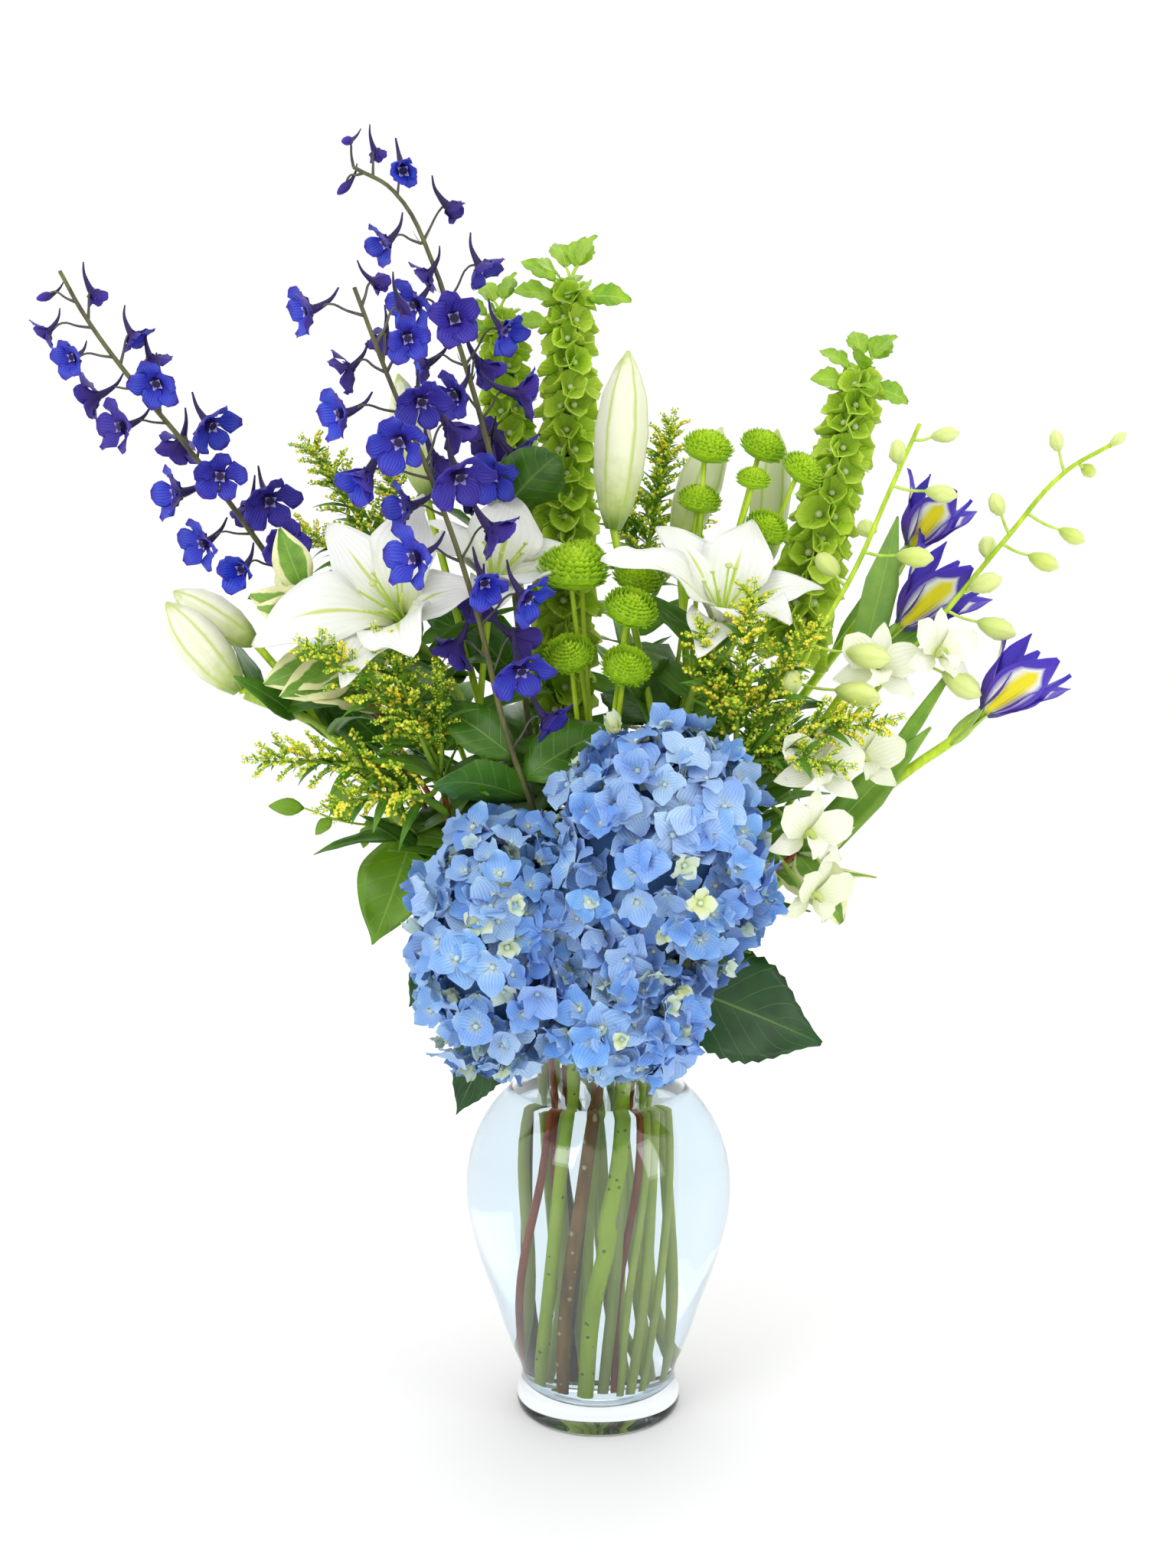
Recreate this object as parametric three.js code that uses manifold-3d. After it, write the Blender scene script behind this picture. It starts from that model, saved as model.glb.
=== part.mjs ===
// A tall mixed bouquet round three blue hydrangea heads, standing in a clear glass vase.
// Millimetres, +Z up, the origin under the middle of the vase's foot. The front of the bouquet faces -Y.
import * as THREE from 'three';
import { mergeVertices } from 'three/addons/utils/BufferGeometryUtils.js';
import Module from 'manifold-3d';

const wasm = await Module();
wasm.setup();

// Driving dimensions of the vase.
const vaseHeight = 230;
const footRadius = 48;
const footHeight = 20;
const bellyRadius = 77;
const bellyHeight = 130;
const neckRadius = 43;
const neckHeight = 206;
const rimRadius = 50;
const wall = 3.5;
const floorThickness = 12;
const waterLevel = 188;
const vaseSegments = 20;

// How the cut stems stand: each ring of stems leans round the axis the same way, so that none cross.
const footLevel = 19;
const stemTurn = 0.78;
const stemRings = {
  outer: { count: 14, atFoot: 33, atNeck: 33, atRim: 41 },
  middle: { count: 9, atFoot: 21, atNeck: 20, atRim: 26 },
  inner: { count: 3, atFoot: 9, atNeck: 7, atRim: 9 },
};
const rimPassage = 234;

// Kept clear between two pieces where one is cut by the other.
const clearance = 0.4;
const bladeThickness = 0.8;

// ---------------------------------------------------------------- shaping tools

const at = (x, y, z) => new THREE.Vector3(x, y, z);

// A repeatable stream of numbers from 0 to 1.
function seeded(seed) {
  let state = seed;
  return () => {
    state = (state * 16807) % 2147483647;
    return state / 2147483647;
  };
}

// The same surface with shared corners only, and no triangle that has shrunk to a line.
function welded(geometry) {
  const bare = geometry.clone();
  for (const name of Object.keys(bare.attributes)) {
    if (name !== 'position') bare.deleteAttribute(name);
  }
  const merged = mergeVertices(bare, 1e-3);
  const kept = [];
  const index = merged.index.array;
  for (let i = 0; i < index.length; i += 3) {
    const [a, b, c] = [index[i], index[i + 1], index[i + 2]];
    if (a !== b && b !== c && c !== a) kept.push(a, b, c);
  }
  merged.setIndex(kept);
  return merged;
}

function solidOf(geometry) {
  const surface = welded(geometry);
  const vertProperties = new Float32Array(surface.attributes.position.array);
  const triVerts = new Uint32Array(surface.index.array);
  return new wasm.Manifold(new wasm.Mesh({ numProp: 3, vertProperties, triVerts }));
}

// The cosine past which a sharp corner's mitre grows no longer.
const sharpestMitre = 0.35;

// The surface moved outwards by a distance, mitred so that flat faces move the full way.
function grown(geometry, distance) {
  const surface = welded(geometry);
  const position = surface.attributes.position;
  const index = surface.index.array;
  const faceNormals = Array.from({ length: position.count }, () => []);
  for (let i = 0; i < index.length; i += 3) {
    const [a, b, c] = [0, 1, 2].map((k) => new THREE.Vector3().fromBufferAttribute(position, index[i + k]));
    const normal = b.clone().sub(a).cross(c.clone().sub(a)).normalize();
    for (let k = 0; k < 3; k += 1) faceNormals[index[i + k]].push(normal);
  }
  faceNormals.forEach((normals, i) => {
    const out = normals.reduce((sum, normal) => sum.add(normal), at(0, 0, 0)).normalize();
    const slant = Math.max(sharpestMitre, Math.min(...normals.map((normal) => normal.dot(out))));
    const moved = new THREE.Vector3().fromBufferAttribute(position, i).addScaledVector(out, distance / slant);
    position.setXYZ(i, moved.x, moved.y, moved.z);
  });
  return surface;
}

const joined = (geometries) => wasm.Manifold.union(geometries.map(solidOf));

// Local +Y of a shape is turned to `along` and its local +Z towards `face`, then it is moved to `place`.
function placed(geometry, place, along, face = at(0, 0, 1)) {
  const y = along.clone().normalize();
  let x = y.clone().cross(face);
  if (x.lengthSq() < 1e-6) x = y.clone().cross(at(1, 0, 0));
  x.normalize();
  const z = x.clone().cross(y);
  const matrix = new THREE.Matrix4().makeBasis(x, y, z).setPosition(place);
  return geometry.applyMatrix4(matrix);
}

// A closed body through a run of rings. A ring is { centre, normal, side, radius, notch }: with a notch,
// every second corner stands at that radius, which makes lobes. The ends close on two points of their own.
function ringed(rings, sides, startPoint, endPoint) {
  const steps = rings.length - 1;
  const geometry = new THREE.CylinderGeometry(1, 1, 1, sides, steps);
  const position = geometry.attributes.position;
  for (let v = 0; v < position.count; v += 1) {
    const [x, z] = [position.getX(v), position.getZ(v)];
    const i = Math.round((0.5 - position.getY(v)) * steps);
    const { centre, normal, side, radius, notch = radius } = rings[i];
    let moved = i === 0 ? startPoint : endPoint;
    if (Math.hypot(x, z) > 0.5) {
      const corner = Math.round((Math.atan2(x, z) / (2 * Math.PI)) * sides + sides);
      const reach = corner % 2 ? notch : radius;
      moved = centre.clone().addScaledVector(normal, x * reach).addScaledVector(side, z * reach);
    }
    position.setXYZ(v, moved.x, moved.y, moved.z);
  }
  return geometry;
}

// A round bar through the points, with its own radius at each.
function strand(points, radii, sides = 5) {
  const last = points.length - 1;
  let normal = at(0.3, 1, 0.2);
  const rings = points.map((centre, i) => {
    const tangent = points[Math.min(last, i + 1)].clone().sub(points[Math.max(0, i - 1)]).normalize();
    normal = normal.clone().addScaledVector(tangent, -normal.dot(tangent)).normalize();
    return { centre, normal, side: tangent.clone().cross(normal), radius: radii[i] };
  });
  return ringed(rings, sides, points[0], points[last]);
}

// Lobed rings stacked up one straight axis, each given as { up, radius, notch }, turned by half a lobe
// each time that `turned` is set. The body starts at `under` and ends at `over` on the axis.
function stacked({ foot, axis, layers, sides, under, over }) {
  const up = axis.clone().normalize();
  const normal = at(0.31, 0.87, 0.2).addScaledVector(up, -at(0.31, 0.87, 0.2).dot(up)).normalize();
  const side = up.clone().cross(normal);
  const rings = layers.map(({ up: height, radius, notch, turned }) => ({
    centre: foot.clone().addScaledVector(up, height),
    normal,
    side,
    radius: turned ? notch : radius,
    notch: turned ? radius : notch,
  }));
  const ends = [under, over].map((height) => foot.clone().addScaledVector(up, height));
  return ringed(rings, sides, ...ends);
}

// A cupped ring of lobes that faces local +Y, closed behind by a point: a floret, calyx or layer of petals.
// With `tips` 1 a lobe is a point, with 2 it is blunt; `notch` is the radius between two lobes.
function star({ lobes, tips = 1, radius, notch, cup = 0, droop = 0, back }) {
  const rim = lobes * (tips + 1);
  const geometry = new THREE.ConeGeometry(1, 1, rim).rotateX(Math.PI);
  const position = geometry.attributes.position;
  for (let v = 0; v < position.count; v += 1) {
    const [x, z] = [position.getX(v), position.getZ(v)];
    if (Math.hypot(x, z) < 0.5) {
      const point = position.getY(v) > 0 ? at(0, -cup, 0) : back;
      position.setXYZ(v, point.x, point.y, point.z);
    } else {
      const turn = Math.atan2(z, x);
      const place = Math.round((turn / (2 * Math.PI)) * rim + rim) % (tips + 1);
      const reach = place === 0 ? notch : radius;
      position.setXYZ(v, x * reach, place === 0 ? 0 : -droop, z * reach);
    }
  }
  return geometry;
}

// A cup that faces local +Y: an even rim, closed behind by a point. A `hollow` under 0 stands out.
function cupOf(radius, depth, hollow, sides = 6) {
  const geometry = new THREE.ConeGeometry(radius, depth, sides).rotateX(Math.PI);
  const position = geometry.attributes.position;
  for (let v = 0; v < position.count; v += 1) {
    const onAxis = Math.hypot(position.getX(v), position.getZ(v)) < 0.5 * radius;
    const atMouth = position.getY(v) > 0;
    const y = atMouth ? (onAxis ? -hollow : 0) : -depth;
    position.setY(v, y);
  }
  return geometry;
}

// Outlines of leaves and petals: half-width from 0 to 1 at a share t of the length.
const outlines = {
  oval: (t) => Math.sin(Math.PI * (0.03 + 0.94 * t ** 0.85)),
  pointed: (t) => Math.sin(Math.PI * (0.04 + 0.93 * t ** 0.7)) * (1 - 0.25 * t),
  strap: (t) => Math.min(1, 0.25 + 3 * t, 0.08 + 2.2 * (1 - t)),
  flare: (t) => Math.min(1, 0.14 + 2 * t) * Math.sqrt(Math.max(0.02, 1 - t ** 5)),
};

// A thin leaf or petal that grows along local +Y and looks towards local +Z.
// `rise` is its slant at the root and `bend` how much it turns by the tip, in radians.
function blade({
  length, width, outline = outlines.pointed, rise = 0, bend = 0, fold = 0, wave = 0, waves = 2,
  across = 2, steps = 3, thickness = bladeThickness,
}) {
  const sheet = new THREE.PlaneGeometry(1, 1, across, steps);
  const position = sheet.attributes.position;
  const count = position.count;
  for (let v = 0; v < count; v += 1) {
    const t = position.getY(v) + 0.5;
    const s = position.getX(v) * 2;
    const half = Math.max(0.5, 0.5 * width * outline(t));
    const turn = Math.abs(bend) < 1e-3 ? 1e-3 : bend;
    const y = (length * (Math.sin(rise + turn * t) - Math.sin(rise))) / turn;
    const z = (length * (Math.cos(rise) - Math.cos(rise + turn * t))) / turn;
    const lift = Math.abs(s) * half * fold + wave * Math.abs(s) * Math.sin(2 * Math.PI * waves * t + s);
    position.setXYZ(v, s * half, y, z + lift);
  }
  sheet.computeVertexNormals();
  const normal = sheet.attributes.normal;
  const corners = [];
  for (const side of [0.5, -0.5]) {
    for (let v = 0; v < count; v += 1) {
      corners.push(position.getX(v) + normal.getX(v) * side * thickness);
      corners.push(position.getY(v) + normal.getY(v) * side * thickness);
      corners.push(position.getZ(v) + normal.getZ(v) * side * thickness);
    }
  }
  const front = sheet.index.array;
  const faces = [];
  for (let i = 0; i < front.length; i += 3) {
    faces.push(front[i], front[i + 1], front[i + 2]);
    faces.push(front[i + 2] + count, front[i + 1] + count, front[i] + count);
  }
  const row = across + 1;
  const border = [];
  for (let i = 0; i < across; i += 1) border.push(i);
  for (let j = 0; j < steps; j += 1) border.push(j * row + across);
  for (let i = across; i > 0; i -= 1) border.push(steps * row + i);
  for (let j = steps; j > 0; j -= 1) border.push(j * row);
  border.forEach((a, i) => {
    const b = border[(i + 1) % border.length];
    faces.push(a, b, b + count, a, b + count, a + count);
  });
  const geometry = new THREE.BufferGeometry();
  geometry.setAttribute('position', new THREE.Float32BufferAttribute(corners, 3));
  geometry.setIndex(faces);
  return geometry;
}

// A point at a share of the way along a list of points.
function alongPath(points, share) {
  const place = share * (points.length - 1);
  const i = Math.min(points.length - 2, Math.floor(place));
  return points[i].clone().lerp(points[i + 1], place - i);
}

// ---------------------------------------------------------------- stems in the vase

// The foot, the neck and the rim passage of one cut stem, counted round from the front to the right.
function stemRoot(ringName, index) {
  const ring = stemRings[ringName];
  const angle = -Math.PI / 2 + (index / ring.count) * 2 * Math.PI;
  const onCircle = (radius, turn, height) => at(radius * Math.cos(turn), radius * Math.sin(turn), height);
  return [
    onCircle(ring.atFoot, angle - stemTurn, footLevel),
    onCircle(ring.atNeck, angle, neckHeight),
    onCircle(ring.atRim, angle, rimPassage),
  ];
}

// A whole stem: its root in the vase, then its own way up.
const stemPath = (ringName, index, above) => [...stemRoot(ringName, index), ...above.map((p) => at(...p))];

// The radius of a stem at each of its points, from its foot to its tip.
const stemRadii = (path, { foot, tip }) => path.map((_, i) => foot + ((tip - foot) * i) / (path.length - 1));
const stemSides = 3;

// ---------------------------------------------------------------- the nodes

const nodes = [];

function addNode(name, color, roughness, pieces) {
  const material = new THREE.MeshStandardMaterial({ color, roughness, metalness: 0 });
  nodes.push({ name, material, pieces });
}

// ---------------------------------------------------------------- vase and water

function lathed(profile) {
  const points = profile.map(([radius, height]) => new THREE.Vector2(radius, height));
  return new THREE.LatheGeometry(points, vaseSegments).rotateX(Math.PI / 2);
}

const vaseOutside = [
  [0, 0],
  [footRadius - 2, 0],
  [footRadius, 4],
  [footRadius - 2, 12],
  [footRadius - 3, footHeight],
  [57, 55],
  [70, 92],
  [bellyRadius, bellyHeight],
  [71, 162],
  [56, 184],
  [neckRadius, 200],
  [neckRadius, 212],
  [rimRadius, vaseHeight],
];

// The inside follows the outside by the wall, down to the thick floor.
const innerWall = vaseOutside
  .filter(([, height]) => height > floorThickness)
  .map(([radius, height]) => [radius - wall, height]);
const floorDish = 2;
const innerFloor = [[0, floorThickness], [footRadius - 12, floorThickness + floorDish]];

addNode('vase', 0xdfeaf0, 0.05, [lathed([...vaseOutside, ...innerWall.reverse(), ...innerFloor.reverse()])]);

// The water lies just inside the glass, up to its level.
const waterGap = 0.8;
const waterTopRadius = 48.2;
const waterWall = innerWall
  .filter(([, height]) => height < waterLevel)
  .map(([radius, height]) => [radius - waterGap, height])
  .reverse();
const waterProfile = [
  [0, floorThickness + waterGap],
  [footRadius - 13, floorThickness + floorDish + waterGap],
  ...waterWall,
  [waterTopRadius, waterLevel],
  [0, waterLevel],
];

// ---------------------------------------------------------------- hydrangeas

const hydrangeas = [
  { name: 'right', seed: 11, florets: 26, middle: at(29, -86, 334), half: at(58, 50, 71), ring: ['outer', 1] },
  { name: 'left', seed: 23, florets: 20, middle: at(-53, -82, 290), half: at(41, 45, 66), ring: ['outer', 13] },
  { name: 'low', seed: 37, florets: 8, middle: at(13, -99, 250), half: at(36, 31, 31), ring: ['outer', 0] },
];
const floret = { lobes: 4, radius: 20.5, notch: 11.5, cup: 3, droop: 2.5, back: at(0, -22, 0) };
const floretSink = 0.06;
const coreShare = 0.86;
const headStalk = { back: 0.35, under: 0.55, inside: 0.4 };
const hydrangeaStemRadius = { foot: 4.6, tip: 3.6 };

// Even places all over a sphere.
function sphereSpread(count) {
  const golden = Math.PI * (3 - Math.sqrt(5));
  return Array.from({ length: count }, (_, i) => {
    const z = 1 - (2 * (i + 0.5)) / count;
    const r = Math.sqrt(1 - z * z);
    return at(r * Math.cos(golden * i), r * Math.sin(golden * i), z);
  });
}

function hydrangeaHead({ middle, half, florets, seed }) {
  const random = seeded(seed);
  const core = new THREE.IcosahedronGeometry(coreShare, 0).scale(half.x, half.y, half.z);
  const pieces = [core.translate(middle.x, middle.y, middle.z)];
  for (const direction of sphereSpread(florets)) {
    const reach = 1 - floretSink * (1 - random());
    const place = direction.clone().multiply(half).multiplyScalar(reach).add(middle);
    const facing = direction.clone().divide(half).normalize();
    const roll = at(random() - 0.5, random() - 0.5, random() - 0.5);
    pieces.push(placed(star(floret), place, facing, roll));
  }
  return pieces;
}

// The stem comes up behind the head and ends inside it.
function hydrangeaStem({ middle, half, ring }) {
  const [foot, neck, rim] = stemRoot(...ring);
  const below = middle.clone().add(at(0, headStalk.back * half.y, -headStalk.under * half.z));
  const inHead = middle.clone().lerp(below, headStalk.inside);
  const path = [foot, neck, rim, below, inHead];
  return { path, pieces: [strand(path, stemRadii(path, hydrangeaStemRadius), 5)] };
}

// Leaves are [share of the stem where the stalk starts, root, direction, facing, length, width].
const hydrangeaLeaves = {
  right: [
    [0.53, at(42, -54, 264), at(0.92, 0.08, -0.33), at(0.1, -0.8, 0.6), 84, 62],
  ],
  left: [
    [0.52, at(-44, -50, 250), at(-0.5, 0.04, -0.85), at(-0.4, -0.85, 0.2), 70, 34],
    [0.56, at(-58, -46, 262), at(-0.95, 0.15, 0.1), at(0, -0.7, 0.7), 44, 32],
  ],
  low: [],
};

for (const plant of hydrangeas) {
  addNode(`hydrangea_head_${plant.name}`, 0x6f9fe0, 0.7, hydrangeaHead(plant));
}
const hydrangeaLeafForm = { outline: outlines.oval, rise: 0.15, bend: -0.5, fold: 0.16, steps: 4 };
const leafStalkRadii = [1.8, 1.3];
const stalkIntoLeaf = 4;

for (const plant of hydrangeas) {
  const { path, pieces } = hydrangeaStem(plant);
  for (const [share, root, along, face, length, width] of hydrangeaLeaves[plant.name]) {
    const leaf = blade({ ...hydrangeaLeafForm, length, width });
    pieces.push(placed(leaf, root, along, face));
    const intoLeaf = root.clone().addScaledVector(along, stalkIntoLeaf);
    pieces.push(strand([alongPath(path, share), intoLeaf], leafStalkRadii, 4));
  }
  addNode(`hydrangea_stem_${plant.name}`, 0x5d8a2e, 0.6, pieces);
}

// ---------------------------------------------------------------- delphiniums

// Each floret is [x, y, z, radius]; the smallest are buds.
const delphiniums = [
  {
    name: 'front',
    path: stemPath('middle', 0, [
      [-8, -30, 285], [-30, -56, 345], [-47, -74, 395], [-65, -82, 470], [-82, -88, 522],
      [-106, -94, 581], [-121, -98, 622],
    ]),
    florets: [
      [-144, -102, 610, 11], [-111, -88, 626, 6], [-97, -84, 612, 8], [-94, -108, 596, 10],
      [-127, -84, 584, 10], [-128, -104, 560, 11], [-88, -104, 566, 12], [-98, -112, 546, 13],
      [-116, -100, 531, 13], [-76, -80, 556, 12], [-70, -102, 530, 13], [-98, -84, 516, 12],
      [-92, -104, 490, 13], [-55, -84, 505, 14], [-37, -92, 470, 13], [-43, -74, 450, 12],
      [-40, -98, 434, 13], [-74, -70, 446, 10], [-27, -84, 408, 11],
    ],
  },
  {
    name: 'tall',
    path: stemPath('middle', 6, [
      [-30, 12, 300], [-40, 4, 400], [-54, -5, 521], [-66, -4, 572], [-78, -3, 612],
      [-90, -2, 650], [-112, -1, 691], [-134, 0, 704],
    ]),
    florets: [
      [-138, -6, 716, 6], [-122, 2, 712, 5], [-142, 4, 692, 6], [-106, -10, 700, 8],
      [-82, 6, 684, 7], [-116, -8, 662, 11], [-64, -2, 650, 12], [-100, -16, 628, 12],
      [-78, -20, 620, 14], [-98, 12, 600, 11], [-52, -6, 616, 11], [-44, -8, 582, 13],
      [-46, 2, 549, 13], [-78, -18, 580, 12], [-62, 16, 560, 11],
    ],
  },
  {
    name: 'left',
    path: stemPath('outer', 10, [
      [-62, 8, 280], [-110, 6, 370], [-160, 2, 455], [-192, -2, 504], [-226, -8, 552], [-256, -14, 590],
      [-278, -18, 622], [-290, -20, 645],
    ]),
    florets: [
      [-300, -24, 630, 6], [-274, -14, 634, 6], [-298, -22, 612, 9], [-282, -30, 598, 10],
      [-254, -10, 612, 10], [-276, -10, 580, 11], [-238, -26, 585, 13], [-258, -26, 562, 12],
      [-212, -14, 564, 13], [-234, 6, 556, 11], [-230, -20, 527, 13], [-206, -22, 536, 13],
      [-182, -10, 524, 14], [-218, -14, 500, 13], [-172, -14, 500, 12], [-196, 10, 520, 11],
    ],
  },
];
const delphiniumStemRadius = { foot: 4.2, tip: 1.4 };
const delphiniumStalkRadius = 0.9;
// Shares of a floret's radius: how deep it is cut between its petals, how hollow, and its spur.
const delphiniumForm = { notch: 0.5, cup: 0.35, spurBack: 1.5, spurRise: 0.35, joint: 0.55 };
const floretNod = at(0, -0.25, -0.15);
// A floret further out than this many radii hangs on a stalk of its own; a nearer one narrows to the stem,
// and its point ends a little short of the stem's middle.
const stalkFrom = 3.2;
const shortOfMiddle = 0.5;
// The stalk starts this much lower on the stem than its floret stands.
const stalkRise = 9;

function nearestOn(path, place) {
  let best = path[0];
  for (let share = 0.3; share <= 1; share += 0.01) {
    const point = alongPath(path, share);
    if (point.distanceTo(place) < best.distanceTo(place)) best = point;
  }
  return best;
}

function delphinium({ path, florets }) {
  const pieces = [strand(path, stemRadii(path, delphiniumStemRadius), stemSides)];
  for (const [x, y, z, radius] of florets) {
    const place = at(x, y, z);
    const root = nearestOn(path, at(x, y, z - stalkRise));
    const facing = place.clone().sub(root).setZ(0).normalize().add(floretNod).normalize();
    const [notch, cup] = [delphiniumForm.notch * radius, delphiniumForm.cup * radius];
    const petals = { lobes: 5, radius, notch, cup };
    const reach = place.distanceTo(root);
    if (reach > stalkFrom * radius) {
      const spur = at(0, -delphiniumForm.spurBack * radius, delphiniumForm.spurRise * radius);
      const joint = place.clone().addScaledVector(facing, -delphiniumForm.joint * radius);
      pieces.push(placed(star({ ...petals, back: spur }), place, facing));
      pieces.push(strand([root, joint], [delphiniumStalkRadius, delphiniumStalkRadius], 3));
    } else {
      const inward = place.clone().sub(root).normalize();
      pieces.push(placed(star({ ...petals, back: at(0, shortOfMiddle - reach, 0) }), place, inward));
    }
  }
  return pieces;
}

for (const plant of delphiniums) addNode(`delphinium_${plant.name}`, 0x3a34b0, 0.6, delphinium(plant));

// ---------------------------------------------------------------- bells of Ireland

const bells = [
  {
    name: 'tall', whorls: 12, radius: 20, crown: 25, base: at(-22, 36, 440), tip: at(-16, 35, 652),
    path: stemPath('inner', 2, [[-12, 16, 330], [-22, 36, 442]]),
  },
  {
    name: 'small', whorls: 7, radius: 17, crown: 20, base: at(-50, 64, 530), tip: at(-58, 65, 640),
    path: stemPath('middle', 5, [[-26, 42, 330], [-44, 60, 440], [-50, 64, 532]]),
  },
  {
    name: 'right', whorls: 8, radius: 19, crown: 23, base: at(119, 18, 470), tip: at(148, 15, 600),
    path: stemPath('middle', 4, [[50, 30, 310], [90, 26, 395], [119, 18, 472]]),
  },
];

const cupsInRing = 4;
const bellStemRadius = { foot: 4.2, tip: 3.2 };
// Shares: of the reach of a ring of cups at its lobes' notches, its throat and the throat's notches; of the
// rise from one ring to the next where the mouth and the throat stand; how much narrower the last ring is.
const bellForm = {
  notch: 0.56, throat: 0.3, throatNotch: 0.22, mouthAt: 0.95, throatAt: 0.6, narrowing: 0.4,
};
const bellFoot = 4.5;
const throatRise = 2;
const crownForm = { notch: 0.36, lift: 0.2, cup: -3, depth: 7 };

// Rings of cups up the stem: each rim stands out in lobes, and its mouth falls back to the stem.
function bellSpike({ whorls, radius, crown, base, tip, path }) {
  const axis = tip.clone().sub(base);
  const rise = axis.length() / whorls;
  const layers = [{ up: 0, radius: bellFoot, notch: bellFoot }];
  for (let k = 0; k < whorls; k += 1) {
    const reach = radius * (1 - (bellForm.narrowing * k) / whorls);
    const turned = k % 2;
    layers.push({ up: (k + bellForm.mouthAt) * rise, radius: reach, notch: bellForm.notch * reach, turned });
    const throat = { radius: bellForm.throat * reach, notch: bellForm.throatNotch * reach, turned };
    layers.push({ up: (k + bellForm.throatAt) * rise + throatRise, ...throat });
  }
  const pieces = [strand(path, stemRadii(path, bellStemRadius), stemSides)];
  pieces.push(stacked({ foot: base, axis, layers, sides: 2 * cupsInRing, under: -6, over: axis.length() }));
  const [notch, droop] = [crownForm.notch * crown, -crownForm.lift * crown];
  const back = at(0, -crownForm.depth, 0);
  const leaves = star({ lobes: 6, radius: crown, notch, droop, cup: crownForm.cup, back });
  pieces.push(placed(leaves, tip, axis, at(1, 0.2, 0)));
  return pieces;
}

for (const plant of bells) addNode(`bells_of_ireland_${plant.name}`, 0xa4cc2a, 0.6, bellSpike(plant));

// ---------------------------------------------------------------- lilies

// Petals are [turn round the flower, length, how far it curls back].
const lilyBlooms = [
  {
    name: 'left', throat: at(-104, -52, 458), facing: at(-0.3, -0.8, 0.5), stamens: 3,
    petals: [[0.2, 74, 1.8], [1.25, 70, 1.2], [2.3, 76, 1.7], [3.3, 84, 1.4], [4.3, 62, 1.6], [5.3, 66, 1.2]],
  },
  {
    name: 'middle', throat: at(-58, -30, 474), facing: at(0.25, -0.5, 0.8), stamens: 0,
    petals: [[0.1, 62, 1.6], [1.15, 58, 1.1], [2.2, 56, 1.6], [3.2, 56, 1.2], [4.3, 52, 1.6], [5.3, 56, 1.1]],
  },
  {
    name: 'right', throat: at(66, -34, 456), facing: at(0.05, -0.6, 0.8), stamens: 0,
    petals: [[0.1, 64, 1.7], [1.15, 62, 1.1], [2.1, 74, 1.6], [3.2, 86, 1.3], [4.3, 58, 1.8], [5.3, 58, 1.3]],
  },
];

const lilyPetal = { innerWidth: 34, outerWidth: 24, spread: 0.75, ring: 6, innerSink: 1, outerSink: 5 };
const lilyThroat = { radius: 9, depth: 20, rise: 4, sides: 6 };
const stamen = { from: 1.5, reach: 36, out: 12, radii: [0.9, 1.5] };

function lilyBloom({ throat, facing, petals, stamens }) {
  const axis = facing.clone().normalize();
  const sideways = axis.clone().cross(at(0, 0, 1)).normalize().negate();
  const upwards = axis.clone().cross(sideways).normalize();
  if (upwards.z < 0) upwards.negate();
  const funnel = cupOf(lilyThroat.radius, lilyThroat.depth, -lilyThroat.rise, lilyThroat.sides);
  const pieces = [placed(funnel, throat.clone().addScaledVector(axis, 1), axis)];
  petals.forEach(([turn, length, curl], i) => {
    const out = sideways.clone().multiplyScalar(Math.cos(turn)).addScaledVector(upwards, Math.sin(turn));
    const inner = i % 2;
    const width = inner ? lilyPetal.innerWidth : lilyPetal.outerWidth;
    const sink = inner ? lilyPetal.innerSink : lilyPetal.outerSink;
    const petal = blade({ length, width, outline: outlines.flare, rise: 0.35, bend: -curl, fold: 0.22 });
    const along = axis.clone().addScaledVector(out, lilyPetal.spread);
    const root = throat.clone().addScaledVector(out, lilyPetal.ring).addScaledVector(axis, -sink);
    pieces.push(placed(petal, root, along, out.clone().negate()));
  });
  for (let i = 0; i < stamens; i += 1) {
    const turn = (i / stamens) * 2 * Math.PI;
    const out = sideways.clone().multiplyScalar(Math.cos(turn)).addScaledVector(upwards, Math.sin(turn));
    const root = throat.clone().addScaledVector(axis, 1).addScaledVector(out, stamen.from);
    const tip = throat.clone().addScaledVector(axis, stamen.reach).addScaledVector(out, stamen.out);
    pieces.push(strand([root, tip], stamen.radii, 3));
  }
  return pieces;
}

for (const bloom of lilyBlooms) addNode(`lily_bloom_${bloom.name}`, 0xf4f4ee, 0.55, lilyBloom(bloom));

// A branch that swells into a closed bud: radii at shares of the bud's length.
const budShape = [[0, 0.3], [0.3, 0.9], [0.55, 1], [0.8, 0.7], [1, 0.1]];
const branchRadius = 2;

function budBranch(root, base, tip, radius) {
  const points = [root, ...budShape.map(([share]) => base.clone().lerp(tip, share))];
  return strand(points, [branchRadius, ...budShape.map(([, share]) => share * radius)], 5);
}

function leafOn(path, share, along, length, width, options = {}) {
  const root = alongPath(path, share);
  const leaf = blade({ length, width, rise: 0.2, bend: -0.6, across: 1, ...options });
  return placed(leaf, root, at(...along), at(0, 0, 1));
}

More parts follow.
